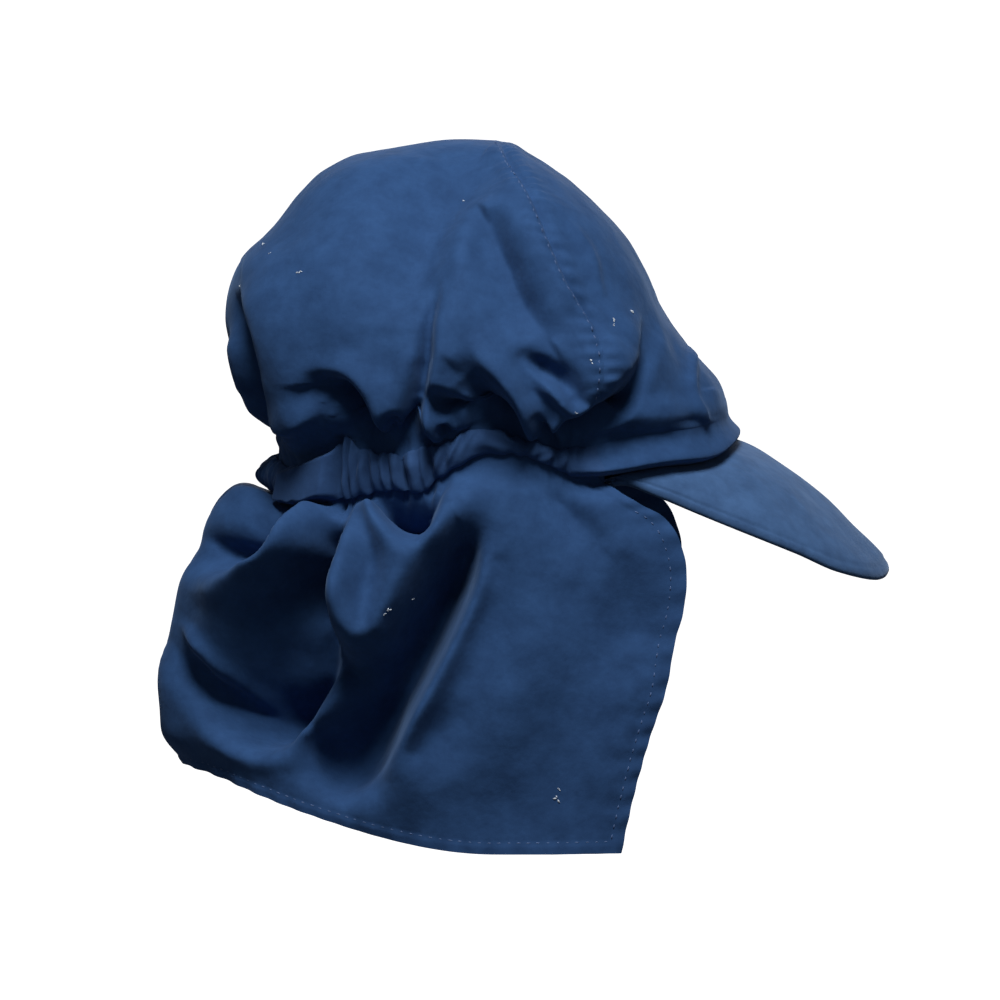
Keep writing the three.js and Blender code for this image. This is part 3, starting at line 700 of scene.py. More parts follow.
def crown_cloth(angle, rise):
    """The crown with all its folds, seams and gathers."""
    form = crown_form(angle, rise)
    outward = outward_of(crown_form, angle, rise, True)
    flat, normals = form.reshape(-1, 3), outward.reshape(-1, 3)
    fade = smooth_step(1 - rise, 0, TOP_FADE) * smooth_step(rise, 0, RIM_FADE)
    relief = folds_on(crown_folds, flat, normals, crown_guide).reshape(rise.shape) * fade
    reach = np.linalg.norm(form[..., :2], axis=-1)
    relief += seam_relief(angle, rise, reach)
    relief += gather_relief(angle, rise * CROWN_RISE_MM)
    uneven = 0.55 * soft_noise(flat, size=34, seed=3) + 0.2 * soft_noise(flat, size=13, seed=4)
    relief += uneven.reshape(rise.shape) * fade
    return form + outward * relief[..., None]


# points on the smooth form, on which the courses of the folds are laid
guide_angle, guide_rise = np.meshgrid(whole_turn, np.linspace(0, 1, 141))
crown_guide = crown_form(guide_angle, guide_rise).reshape(-1, 3)

# %% The two panels
CROWN_COLUMNS = 270
CROWN_ROWS = 160
FRONT_COLUMNS = 110
CROWN_ROW_POWER = 1.15  # above 1 the rows stand closer together at the casing
SEAM_CROWDING = 0.09  # how much closer together the columns stand beside the seam


def crowded(across):
    """The same share with the columns closer together beside the seam."""
    return across - SEAM_CROWDING * np.sin(2 * math.pi * across)


def crown_back_place(across, up):
    rise = up**CROWN_ROW_POWER
    edge = seam_angle(rise)
    return crown_cloth(edge + crowded(across) * (360 - 2 * edge), rise)


def crown_front_place(across, up):
    rise = up**CROWN_ROW_POWER
    edge = seam_angle(rise)
    return crown_cloth(-edge + crowded(across) * 2 * edge, rise)


crown_back = grid_mesh("crown_back_cloth", CROWN_COLUMNS, CROWN_ROWS, crown_back_place)
crown_front = grid_mesh("crown_front_cloth", FRONT_COLUMNS, CROWN_ROWS, crown_front_place)
for panel in (crown_back, crown_front):
    finish_cloth(panel, CLOTH)

# %% [markdown]
# ## The neck flap
# The flap is one layer of the same cloth. It hangs in slanting folds: long slopes that fall away
# under a crest, and a rim that kicks out again where the stitched hem stiffens it. Single folds, as on
# the crown, don't give this, because here each fold runs into the next. So the crests and floors are
# given as lines with heights, and a thin plate is bent over all of them. A plate has no corners, as
# cloth has none, but it is too soft for the crisp lips of the hollows. A few small folds sharpen those.

# %% The drape of the flap
# Each line is a crest or a floor in the side view: millimetres forward, up, and out from the plain form.
drape_lines = [
    # ridge that runs back from the casing
    [(-58, -18, -2), (-63, -19, 3), (-70, -22, 8), (-75, -27, 12), (-81, -35, 14), (-88, -41, 15),
     (-96, -48, 13), (-103, -52, 9), (-110, -57, 3), (-117, -61, 0)],
    # under the back of the casing
    [(-79, -16, 5), (-87, -18, 8), (-94, -21, 6), (-100, -25, 2), (-107, -30, -3)],
    # crease between the puff and the ridge
    [(-76, -24, 1), (-81, -31, -4), (-88, -35, -8), (-95, -38, -9), (-102, -37, -6), (-108, -35, -2)],
    # slope under that ridge
    [(-60, -30, -8), (-66, -36, -9), (-74, -43, -10), (-83, -53, -9), (-93, -61, -7), (-103, -68, -3),
     (-112, -71, 0)],
    # middle of the rear hollow
    [(-66, -53, -24), (-75, -65, -27), (-84, -71, -26), (-95, -78, -22), (-105, -82, -14),
     (-111, -81, -6)],
    # lower part of the rear hollow
    [(-75, -78, -34), (-84, -86, -37), (-95, -89, -34), (-103, -89, -24)],
    # just inside the floor of the rear hollow
    [(-116, -73, -1), (-111, -87, -13), (-104, -96, -28), (-97, -101, -38), (-89, -101, -41),
     (-82, -96, -41), (-76, -88, -38), (-72, -76, -33), (-69, -65, -28), (-66, -51, -23),
     (-65, -40, -18)],
    # lip of the rear hollow
    [(-124, -63, 0), (-122, -74, 0), (-118, -87, -2), (-112, -99, -5), (-103, -108, -7),
     (-93, -111, -8), (-82, -108, -8), (-77, -102, -8)],
    # tongue's rear edge
    [(-53, -17, 2), (-55, -23, 5), (-57, -30, 8), (-59, -39, 11), (-60, -48, 13), (-60, -55, 14),
     (-58, -64, 14), (-53, -70, 13)],
    # middle of the tongue
    [(-50, -17, 5), (-48, -24, 8), (-46, -32, 9), (-46, -40, 8), (-48, -50, 11), (-48, -62, 14)],
    # slanting crest
    [(-14, -6, 1), (-17, -15, 7), (-24, -27, 12), (-29, -35, 14), (-34, -45, 16), (-38, -54, 16),
     (-43, -64, 15)],
    # under the tip of the tongue
    [(-64, -68, -15), (-59, -75, -12), (-54, -80, -11), (-46, -78, -10), (-38, -71, -6)],
    # ridge between the hollows
    [(-60, -82, -6), (-65, -89, -6), (-70, -96, -6), (-73, -103, -6)],
    # tongue's front edge
    [(-46, -18, 7), (-41, -25, 9), (-35, -31, 11)],
    # pocket under the casing
    [(-43, -15, -12), (-40, -19, -16), (-35, -23, -18), (-29, -25, -14)],
    # slope of the mid hollow
    [(-12, -24, 4), (-16, -33, -4), (-21, -44, -10), (-27, -56, -13), (-35, -70, -15), (-44, -84, -17),
     (-54, -96, -19), (-62, -104, -20)],
    # just inside the floor of the mid hollow
    [(-13, -33, -10), (-14, -46, -17), (-20, -58, -20), (-26, -70, -22), (-34, -84, -24),
     (-40, -97, -25), (-47, -108, -25), (-54, -115, -24), (-60, -117, -23), (-66, -113, -21),
     (-69, -105, -18)],
    # front panel's rear edge
    [(-5, -35, 1), (-7, -44, 2), (-12, -57, 3), (-18, -70, 4), (-25, -84, 5), (-32, -96, 5),
     (-36, -106, 3), (-41, -116, -1)],
    # behind that edge
    [(0, -38, 2), (-2, -48, 2), (-7, -61, 2), (-13, -74, 3), (-20, -88, 3), (-26, -99, 2),
     (-32, -110, 2)],
    # curve of the stiff lower part
    [(-124, -68, 2), (-122, -87, 1), (-118, -104, -2), (-108, -115, -5), (-94, -119, -6),
     (-79, -119, -7), (-69, -127, -7), (-58, -130, -6), (-45, -125, -4)],
    # back edge and hem
    [(-96, -11, 0), (-107, -19, 0), (-113, -27, 0), (-119, -38, 0), (-124, -49, 0), (-127, -63, 0),
     (-128, -84, 0), (-128, -103, 0), (-126, -113, -1), (-120, -123, -3), (-109, -128, -5),
     (-90, -132, -6), (-67, -138, -6), (-44, -144, -6), (-18, -147, -4), (9, -149, -2), (48, -149, 0)],
    # front edge
    [(62, -15, 0), (71, -38, 0), (67, -68, 0), (60, -99, 0), (52, -125, 0), (48, -149, 0)],
    # fullness of the front panel
    [(1, -4, 2), (2, -23, 4), (9, -46, 3), (7, -68, 4), (-1, -91, 4), (-8, -114, 2)],
    # middle of the front panel
    [(22, -8, 1), (24, -38, 1), (26, -68, 2), (24, -91, 1), (20, -120, -2), (-3, -131, -2),
     (-27, -132, -2)],
    # front of the front panel
    [(43, -15, 1), (47, -34, 1), (49, -53, -3), (54, -65, -4), (51, -87, 0), (43, -118, 1)],
    # below the casing
    [(-75, -15, 0), (-56, -13, 0), (-37, -12, 0), (-22, -7, 0), (-10, -2, 0), (9, 2, 0), (24, -6, 0),
     (39, -8, 0)],
]
PLATE_SOFTNESS = 6.0  # lets the plate miss a point a little, so that it stays smooth


def line_points(line):
    """Points close together on a smooth curve along one line, with their heights."""
    points = np.array(line, float)
    bends = rounded_course(points[:, :2])
    share = np.linspace(0, len(points) - 1, len(bends))
    return np.column_stack([bends, np.interp(share, np.arange(len(points)), points[:, 2])])


def plate_bend(away):
    """How a thin plate bends at a distance from a point that holds it. The distance comes squared."""
    return away * np.log(away + 1e-9)


def bend_plate(points):
    """The weights of a thin plate bent over points with heights."""
    place, count = points[:, :2], len(points)
    away = ((place[:, None] - place[None]) ** 2).sum(-1)
    flat = np.hstack([np.ones((count, 1)), place])
    system = np.zeros((count + 3, count + 3))
    system[:count, :count] = plate_bend(away) + PLATE_SOFTNESS * np.eye(count)
    system[:count, count:] = flat
    system[count:, :count] = flat.T
    return place, np.linalg.solve(system, np.concatenate([points[:, 2], np.zeros(3)]))


def plate_height(plate, seen):
    """Height of the bent plate at points as they are seen from the side."""
    place, weights = plate
    height = weights[-3] + seen @ weights[-2:]
    for spot, weight in zip(place, weights):
        height = height + weight * plate_bend(((seen - spot) ** 2).sum(-1))
    return height


flap_plate = bend_plate(np.vstack([line_points(line) for line in drape_lines]))
print("the flap's drape is bent over", len(flap_plate[0]), "points")
BACK_BLEND = 25  # how far the two sides of the flap blend into each other at the back
SHIFT_STARTS = -115  # the far side's shift grows from here forward, so that the back edge stays
SHIFT_IS_FULL = -80


def flap_drape(points):
    """How far the drape moves each point of the flap, on both sides."""
    seen = seen_from_side(points)
    mirrored = seen_from_side(points * [1, -1, 1])
    mirrored[..., 0] += FAR_SIDE_SHIFT * smooth_step(mirrored[..., 0], SHIFT_STARTS, SHIFT_IS_FULL)
    far = smooth_step(points[..., 1], -BACK_BLEND, BACK_BLEND)
    near_height, far_height = plate_height(flap_plate, seen), plate_height(flap_plate, mirrored)
    return near_height * (1 - far) + FAR_SIDE_DEPTH * far_height * far


# %% The small folds of the flap
flap_folds = [
    fold("border of the rear hollow",
         [(-121.2, -65.4), (-118.9, -73.7), (-115.9, -84.4), (-111.7, -93.5), (-105.3, -101.5),
          (-97.7, -105.3), (-89.3, -105.3), (-81.3, -101.8), (-76, -95.8)],
         (0, -1, -3, -5, -6, -6, -6, -5, -2), 8, 2.4),
    fold("hollow behind the tongue",
         [(-55.1, -19.8), (-58.1, -32.3), (-61.6, -43.7), (-63.1, -53.2), (-62.7, -60.8),
          (-59.7, -68.4)],
         (-3, -6, -7, -6, -4, -1), 2.4, 9),
    fold("border of the mid hollow",
         [(-11.8, -29.6), (-8.7, -35), (-9.9, -45.6), (-16, -60.8), (-21.7, -72.2), (-29.3, -87.4),
          (-36.9, -101.8), (-43.3, -111.7), (-51.3, -120.1), (-59.7, -123.5), (-66.5, -120.8),
          (-71.1, -114), (-73.7, -105.6)],
         (-2, -4, -5, -5, -5, -5, -5, -5, -6, -6, -6, -4, -2), 2.2, 8),
    fold("border of the puff",
         [(-78.7, -26.6), (-86.3, -32.7), (-96.9, -36.1), (-106, -34.2)],
         (-1, -3, -4, -2), 2.6, 5),
    fold("puff under the casing",
         [(-78.7, -16.3), (-87.8, -17.9), (-96.9, -19.8), (-104.5, -22.8)],
         (1, 2, 3, 1), 6, 6),
    fold("faint ridge in the rear hollow",
         [(-117.4, -61.6), (-110.2, -76), (-103, -91.2), (-98.8, -99.6)],
         (2, 4, 4, 2), 4, 4),
    fold("light roll", [(-16, -4.6), (-24.7, -15.2), (-27.4, -21.7)], (2, 3, 2), 3, 3),
    fold("pocket beside the roll", [(-19, -7.6), (-22.8, -17.1), (-26.2, -24.7)], (-4, -5, -4), 2.6, 2.6),
    fold("pleat", [(16.3, -5.7), (22, -14.1), (30.4, -23.9), (36.5, -29.3)], (-2, -4, -4, -2), 5, 9),
    fold("nape valley", [(0, -20), (0, -60), (0, -105)], (-6, -9, -9), 14, 14, seen_from="back"),
    fold("nape ridge", [(26, -22), (27, -60), (30, -100)], (4, 4, 4), 11, 11, seen_from="back"),
]
print(len(flap_folds), "small folds on the flap, the first is the", flap_folds[0]["name"])

# %% The hem and the sheet of the flap
FLAP_COLUMNS = 320
FLAP_ROWS = 150
FLAP_ROW_POWER = 1.1  # above 1 the rows stand closer together at the casing
NEAR_SIDE_CROWDING = 0.35  # how much closer together the columns stand on the side that is seen
FLAP_RIM_FADE = 0.09  # share of the flap over which its folds grow from the casing
HEM_STEP = 0.45  # how far the turned cloth stands out
HEM_STITCH_INSET = 0.4  # from the inner edge of the turned cloth to its stitches
HEM_STITCH_PULL = 0.45  # how deep the stitches draw the cloth in
HEM_WAVE = 0.35  # height of the puckers between them
HEM_PITCH = 9  # of those puckers
HEM_SPREAD = 1.15  # a degree is this much longer at the hem than at the casing


def flap_edge_distance(angle, drop):
    """Distance from the nearest edge of the flap, its top left out, and the way along that edge."""
    below = (1 - drop) * FLAP_DROP_MM
    beside = (folded(angle) - flap_edge_angle(drop)) * DEGREE_MM
    along = np.where(below < beside, folded(angle) * DEGREE_MM * HEM_SPREAD, drop * FLAP_DROP_MM)
    return np.minimum(below, beside), along


def hem_relief(angle, drop):
    """The step of the turned cloth, the line of its stitches and the puckers between them."""
    away, along = flap_edge_distance(angle, drop)
    inside = 1 - smooth_step(away, HEM_DEPTH - 0.6, HEM_DEPTH + 0.9)
    stitch_line = np.exp(-(((away - HEM_DEPTH + HEM_STITCH_INSET) / 0.7) ** 2))
    wave = np.cos(2 * math.pi * along / HEM_PITCH + 1.5 * np.sin(along / 17))
    pucker = HEM_WAVE * wave * np.exp(-np.maximum(away - 2, 0) / 3.5)
    return HEM_STEP * inside - HEM_STITCH_PULL * stitch_line + pucker


def flap_cloth(angle, drop):
    """The flap with its drape, folds, gathers and hem."""
    form = flap_form(angle, drop)
    outward = outward_of(flap_form, angle, drop, False)
    flat, normals = form.reshape(-1, 3), outward.reshape(-1, 3)
    relief = (folds_on(flap_folds, flat, normals, flap_guide) + flap_drape(flat)).reshape(drop.shape)
    relief = relief * smooth_step(drop, 0, FLAP_RIM_FADE)
    relief += gather_relief(angle, drop * FLAP_DROP_MM)
    relief += hem_relief(angle, drop)
    uneven = 0.6 * soft_noise(flat, size=38, seed=7) + 0.22 * soft_noise(flat, size=14, seed=8)
    relief += uneven.reshape(drop.shape)
    return form + outward * relief[..., None]


guide_share, guide_drop = np.meshgrid(np.linspace(0, 1, 361), np.linspace(0, 1, 131))
guide_edge = flap_edge_angle(guide_drop)
flap_guide = flap_form(guide_edge + guide_share * (360 - 2 * guide_edge), guide_drop).reshape(-1, 3)


def flap_place(across, up):
    drop = (1 - up) ** FLAP_ROW_POWER
    edge = flap_edge_angle(drop)
    share = across + NEAR_SIDE_CROWDING / (2 * math.pi) * (np.cos(2 * math.pi * across) - 1)
    return flap_cloth(edge + share * (360 - 2 * edge), drop)


neck_flap = grid_mesh("neck_flap_cloth", FLAP_COLUMNS, FLAP_ROWS, flap_place)
finish_cloth(neck_flap, CLOTH)

# %% [markdown]
# ## The elastic casing and the front band
# A narrow tube of the same cloth holds the elastic. It is shirred: ribs with sharp grooves between
# them, some bunched into blocks. The grooves are the ones that run on into crown and flap. Over the
# peak there is no elastic, and the crown's lower edge is rolled smooth. A bevelled curve could carry a
# tube, but it would be the same all the way round, so a grid is placed point by point as for the
# panels. The roll goes on from the crown and from the casing without a line, so all three follow the
# same outline where they meet.

# %% The front band
BAND_COLUMNS = 180
BAND_ROWS = 24
BAND_HEIGHT = 14  # about as high as the cloth of the roll is
FRONT_ROLL = 5.8  # how far the roll stands out
ROLL_SAG = 0.45  # puts the fullest part of the roll below its middle
ROLL_TUCK = 3.0  # how far its lower edge turns in over the peak
TUCK_SHARE = 0.22  # of the height that turns in
SMALL_PUCKER = 0.9  # beside the end of the elastic
PUCKERS_START = TEMPLE - 22  # degrees


def roll_lift(angle, rise):
    """How far the front roll stands out from the band at a share of its height."""
    rim = crown_form(angle, np.zeros_like(angle))
    rim_reach = np.linalg.norm(rim[..., :2], axis=-1) - band_reach(angle)
    bottom = -ROLL_TUCK * (1 - smooth_step(rise, 0, TUCK_SHARE))
    roll = FRONT_ROLL * np.sin(math.pi * rise**ROLL_SAG) ** 2
    beside = smooth_step(folded(angle), PUCKERS_START, TEMPLE)
    place = np.stack([angle * DEGREE_MM, BAND_HEIGHT * rise, 0 * rise], axis=-1)
    pucker = soft_noise(place.reshape(-1, 3), size=7, seed=31).reshape(rise.shape)
    puckers = SMALL_PUCKER * beside * pucker * np.sin(math.pi * rise)
    return rim_reach * smooth_step(rise, 0, 1) + bottom + roll + puckers


def front_band_place(across, up):
    angle = -TEMPLE + across * 2 * TEMPLE
    low = band_edge(angle, "low")
    high = crown_form(angle, np.zeros_like(angle))[..., 2]
    return point_at(angle, band_reach(angle) + roll_lift(angle, up), low + (high - low) * up)


front_band = grid_mesh("front_band_cloth", BAND_COLUMNS, BAND_ROWS, front_band_place)
finish_cloth(front_band, CLOTH)

# %% The casing
CASING_COLUMNS = 640
CASING_ROWS = 24
CASING_BULGE = 2.4
CASING_ROUNDNESS = 0.55  # below 1 the tube is fuller than a half round
CASING_END = 9  # degrees over which the casing goes over into the front roll
GROOVE_SLANT = 1.8  # degrees by which a groove leans between the lower and the upper edge
RIPPLE = 0.4  # of the cloth between the grooves
EDGE_RUFFLE = 0.7  # how far the two edges of the casing wander up and down
TAB_FORWARD = -57.5  # a tab of slack cloth that stands up over the casing beside the block
TAB_RISE = 4
TAB_WIDTH = 2.2  # in degrees
BACK_PUFF = 5  # how far the slack cloth stands out at the middle of the back
BACK_PUFF_WIDTH = 16  # in degrees
# the block of slack cloth at the wearer's right: its ends forward, the height of its slanting upper edge
# at both, how far it stands out at its lower and upper edge, and how far its border is rounded
block_shape = {
    "rear": -79, "front": -60.5, "rear_top": -2.5, "front_top": 6, "low": 6, "high": 3, "edge": 1.4,
}


def block_share(angle, height):
    """1 on the flat block of slack cloth, 0 beside it."""
    forward = band_reach(angle) * np.cos(np.radians(angle))
    right_side = np.sin(np.radians(angle)) > 0
    edge = block_shape["edge"]
    along = (forward - block_shape["rear"]) / (block_shape["front"] - block_shape["rear"])
    top = block_shape["rear_top"] + (block_shape["front_top"] - block_shape["rear_top"]) * along
    from_ends = np.minimum(forward - block_shape["rear"], block_shape["front"] - forward)
    inside = np.minimum(from_ends, top - height)
    return np.where(right_side, smooth_step(inside, -edge, edge), 0)


def casing_place(across, up):
    angle = TEMPLE + across * (360 - 2 * TEMPLE)
    low, high = band_edge(angle, "low"), band_edge(angle, "high")
    round_share = np.sin(math.pi * np.clip(up, 0, 1)) ** CASING_ROUNDNESS
    slant = GROOVE_SLANT * (up - 0.5) * np.sin(np.radians(angle * 5) + 1)
    grooves = groove_depth(angle, 1.0, slant)
    ripple = RIPPLE * np.cos(angle * 1.1 + 3 * np.sin(up * 3 + angle * 0.23))
    # the grooves bite deepest where the tube is fullest
    lift = CASING_BULGE * round_share - grooves * (0.35 + 0.65 * round_share) + ripple * round_share
    lift = lift + BACK_PUFF * np.exp(-(((angle - 180) / BACK_PUFF_WIDTH) ** 2)) * round_share
    # the edges wander, and the grooves draw them in
    ruffle = EDGE_RUFFLE * np.cos(angle * 0.9 + 2 * np.sin(angle * 0.3)) - 0.35 * grooves
    tab = TAB_RISE * np.exp(-(((angle - band_angle(TAB_FORWARD)) / TAB_WIDTH) ** 2))
    ruffle = ruffle + tab * (up > 0.5)
    height = low + (high - low) * up + ruffle * np.where(up > 0.5, 1, -0.6) * np.abs(up - 0.5) * 2
    block = block_share(angle, height)
    shelf = block_shape["low"] + (block_shape["high"] - block_shape["low"]) * up
    lift = lift * (1 - block) + (CASING_BULGE + shelf) * block * smooth_step(up, 0, 0.12)
    # the ends go over into the front roll
    share = smooth_step(folded(angle), TEMPLE, TEMPLE + CASING_END)
    lift = lift * share + roll_lift(angle, up) * (1 - share)
    roll_top = crown_form(angle, np.zeros_like(angle))[..., 2]
    height = height * share + (low + (roll_top - low) * up) * (1 - share)
    return point_at(angle, band_reach(angle) + lift, height)


elastic_casing = grid_mesh("elastic_casing_cloth", CASING_COLUMNS, CASING_ROWS, casing_place)
finish_cloth(elastic_casing, CASING_CLOTH)

# %% [markdown]
# ## The peak
# A stiff core with a thin layer of wadding lies between two covers, which are sewn together inside the
# rim. It could be a flat plate with a bevelled rim, bent by a modifier. Here one grid runs over the top,
# round the rim and back underneath, so the rim is round, the sewing inside it shows as a groove and both
# ends thin out, all from one function.

# %% The peak
peak_rim = table("side height", [
    (0, -44.5), (0.15, -46.5), (0.3, -42.5), (0.42, -35), (0.55, -27.5), (0.7, -19.5), (0.85, -12), (1, -6),
])
PEAK_PLAN = {"middle": 48, "length": 100.7, "half_width": 68, "squareness": 2.3, "sweep": 96}
PEAK_THICKNESS = 4.8
PEAK_ROOT_INSET = 2  # how far the sewn edge reaches in behind the roll
PEAK_ROOT_ANGLE = 60  # degrees to each side over which it is sewn on
PEAK_CURVE = 1.5  # above 1 the peak leaves the roll level and then bends down
PEAK_EDGE_ROUND = 6  # from the rim to where it has its full thickness
PEAK_END_ROUND = 0.05  # share of each half over which the peak thins out at its two ends
PEAK_STITCH_DEPTH = 0.35  # of the groove that the sewing draws into the covers
PEAK_STITCH_INSET = 3.6  # from the rim
PEAK_STITCH_WIDTH = 0.8
PEAK_COLUMNS = 200
PEAK_ROWS = 90
PEAK_ROW_POWER = 1.5  # above 1 the rows stand closer together at the rim
PEAK_WELD = 0.05


def peak_middle(side, out):
    """The middle of the peak's thickness. out is 0 where it is sewn on and 1 at the rim."""
    root_angle = PEAK_ROOT_ANGLE * side
    root = point_at(root_angle, band_reach(root_angle) - PEAK_ROOT_INSET,
                    band_edge(root_angle, "low") - PEAK_THICKNESS / 2)
    turn = PEAK_PLAN["sweep"] * side
    oval = oval_reach(turn, PEAK_PLAN["length"], PEAK_PLAN["length"], PEAK_PLAN["half_width"],
                      PEAK_PLAN["squareness"])
    rim_height = look_up(peak_rim, "side", "height", np.abs(side), True) + PEAK_THICKNESS / 2
    rim = point_at(turn, oval, rim_height) + [PEAK_PLAN["middle"], 0, 0]
    share = out[..., None]
    middle = root + (rim - root) * share
    middle[..., 2] = root[..., 2] + (rim[..., 2] - root[..., 2]) * out**PEAK_CURVE
    return middle


def peak_place(across, up):
    side = 2 * across - 1
    loop = 2 * up - 1  # -1 under the root, 0 at the rim, 1 on top of the root
    inward = np.abs(loop)
    out = 1 - inward**PEAK_ROW_POWER
    middle = peak_middle(side, out)
    step = 0.002
    around = peak_middle(np.clip(side + step, -1, 1), out) - peak_middle(np.clip(side - step, -1, 1), out)
    along = peak_middle(side, np.clip(out + step, 0, 1)) - peak_middle(side, np.clip(out - step, 0, 1))
    upward = np.cross(around, along)
    upward *= np.sign(upward[..., 2:])
    upward /= np.maximum(np.linalg.norm(upward, axis=-1, keepdims=True), 1e-9)
    rim, root = peak_middle(side, np.ones_like(out)), peak_middle(side, np.zeros_like(out))
    length = np.linalg.norm(rim - root, axis=-1)
    from_rim = np.clip((1 - out) * length / PEAK_EDGE_ROUND, 0, 1)
    from_end = np.clip((1 - np.abs(side)) / PEAK_END_ROUND, 0, 1)
    half = PEAK_THICKNESS / 2 * np.sqrt(1 - (1 - from_rim) ** 2) * np.sqrt(1 - (1 - from_end) ** 2)
    off_stitches = (1 - out) * length - PEAK_STITCH_INSET
    groove = PEAK_STITCH_DEPTH * np.exp(-((off_stitches / PEAK_STITCH_WIDTH) ** 2))
    uneven = soft_noise(middle.reshape(-1, 3), size=26, seed=21).reshape(out.shape)
    soft = 0.35 * uneven * smooth_step(from_rim, 0, 1)
    return middle + upward * (np.sign(loop) * (half - groove + soft * (loop > 0)))[..., None]


def close_peak(piece):
    """Closes the sewn edge and the two ends, so that the peak is one solid."""
    bm = bmesh.new()
    bm.from_mesh(piece.data)
    bmesh.ops.remove_doubles(bm, verts=bm.verts, dist=PEAK_WELD * MM)
    bmesh.ops.holes_fill(bm, edges=[edge for edge in bm.edges if edge.is_boundary], sides=0)
    bmesh.ops.recalc_face_normals(bm, faces=bm.faces)
    for face in bm.faces:
        face.smooth = True
    bm.to_mesh(piece.data)
    bm.free()


peak = grid_mesh("peak_cover", PEAK_COLUMNS, PEAK_ROWS, peak_place)
close_peak(peak)
print("peak has", len(peak.data.polygons), "faces")

# %% [markdown]
# ## Stitches and lint
# The hem and the seam of the crown are each held by one row of machine stitches, in thread that is a
# little paler than the cloth. A texture could draw them, but a row has to follow its edge over every
# pucker, so each stitch is a small grain of thread that lies along its row and sinks a little into the
# cloth. A brushed cloth also holds on to lint: the real hat has a few pale specks.

# %% Rows of stitches
STITCH_LENGTH = 2.3
STITCH_PITCH = 3.7
THREAD = 0.34  # half its thickness: coarser than real thread, so that it shows
SEAM_STITCH_INSET = 1.8  # from the seam back
HEM_STITCH_TOP = 0.14  # share of the front edge at which its row of stitches starts


def grain_of_thread(bm, spot, ahead, outward, length, thread):
    """Adds one small rounded grain that lies along the cloth."""
    way = Vector(ahead - spot).normalized()
    up = Vector(outward).normalized()
    across = up.cross(way).normalized()
    turn = Matrix((way, across, way.cross(across))).transposed().to_4x4()
    size = Matrix.Diagonal((length / 2 * MM, thread * MM, thread * MM, 1))
    bmesh.ops.create_icosphere(bm, subdivisions=1, radius=1,
                               matrix=Matrix.Translation(Vector(spot * MM)) @ turn @ size)


def stitch_row(bm, line, outward, sink):
    """Adds stitches along a dense line of points, a little uneven in place, length and depth."""
    random = np.random.default_rng(5)
    run = np.concatenate([[0], np.cumsum(np.linalg.norm(np.diff(line, axis=0), axis=1))])
    for place in np.arange(STITCH_PITCH / 2, run[-1] - STITCH_PITCH / 2, STITCH_PITCH):
        place += random.normal(0, 0.15)
        spot = np.array([np.interp(place, run, line[:, k]) for k in range(3)])
        ahead = np.array([np.interp(place + 1, run, line[:, k]) for k in range(3)])
        up = np.array([np.interp(place, run, outward[:, k]) for k in range(3)])
        length = STITCH_LENGTH * random.uniform(0.75, 1.05)
        sunk = spot - up * (sink + random.uniform(0, 0.12))
        grain_of_thread(bm, sunk, ahead - up * sink, up, length, THREAD)


def piece_of_grains(name, bm):
    """Makes all the grains in a bmesh one piece."""
    for face in bm.faces:
        face.smooth = True
    mesh = bpy.data.meshes.new(name)
    bm.to_mesh(mesh)
    bm.free()
    piece = bpy.data.objects.new(name, mesh)
    bpy.context.collection.objects.link(piece)
    print(name, "has", len(mesh.polygons), "faces")
    return piece


def stitched_hem():
    """One row of stitches along the bottom hem and both front edges."""
    bm = bmesh.new()
    inset = HEM_DEPTH - HEM_STITCH_INSET
    drop = np.linspace(HEM_STITCH_TOP, 1 - inset / FLAP_DROP_MM, 160)
    edge = flap_edge_angle(drop) + inset / DEGREE_MM
    for angle in (edge, 360 - edge):
        patch_angle = np.stack([angle - 0.5, angle, angle + 0.5], 1)
        patch = flap_cloth(patch_angle, np.repeat(drop[:, None], 3, 1))
        stitch_row(bm, patch[:, 1], facing(patch)[:, 1], 0.0)
    low = 1 - inset / FLAP_DROP_MM
    around = np.linspace(edge[-1], 360 - edge[-1], 620)
    levels = np.array([low - 0.01, low, low + 0.01])[:, None]
    patch = flap_cloth(np.repeat(around[None], 3, 0), np.repeat(levels, len(around), 1))
    stitch_row(bm, patch[1], facing(patch)[1], 0.1)
    return piece_of_grains("hem_stitches", bm)


def stitched_seam():
    """A row of stitches on the rear panel beside the seam of the crown."""
    bm = bmesh.new()
    rise = np.linspace(0.16, 0.96, 200)
    reach = np.linalg.norm(crown_form(seam_angle(rise), rise)[:, :2], axis=-1)
    angle = seam_angle(rise) + np.degrees(SEAM_STITCH_INSET / reach)
    for middle in (angle, 360 - angle):
        patch_angle = np.stack([middle - 0.5, middle, middle + 0.5], 1)
        patch = crown_cloth(patch_angle, np.repeat(rise[:, None], 3, 1))
        stitch_row(bm, patch[:, 1], facing(patch)[:, 1], 0.05)
    return piece_of_grains("seam_stitches", bm)


hem_stitches = stitched_hem()
seam_stitches = stitched_seam()

# %% Lint
SPECK_SEARCH = 2.0  # squared distance from a speck's place within which the outermost cloth is taken
GRAINS_IN_SPECK = 3
# where the specks are, as seen from the wearer's right in millimetres, and how large they are
lint_specks = table("forward up size", [
    (-88.5, 82.8, 0.5), (-75.2, 71.8, 0.55), (-98.4, 65.4, 0.4), (-13.3, 98.4, 0.4), (43.3, 54, 0.6),
    (51.7, 56.2, 0.65), (34.2, 37.2, 0.5), (30.8, 16.7, 0.35), (-39.9, -57, 0.7), (-30.8, -52.4, 0.45),
    (23.6, -126.2, 0.75), (-86, 79, 0.3), (44.5, 51.5, 0.35), (24.6, -123.8, 0.4), (-41.2, -58.6, 0.4),
])


def of_all_vertices(pieces, what):
    """The places or the normals of all vertices of some pieces, one in a row."""
    return np.vstack([[getattr(vertex, what)[:] for vertex in piece.data.vertices] for piece in pieces])


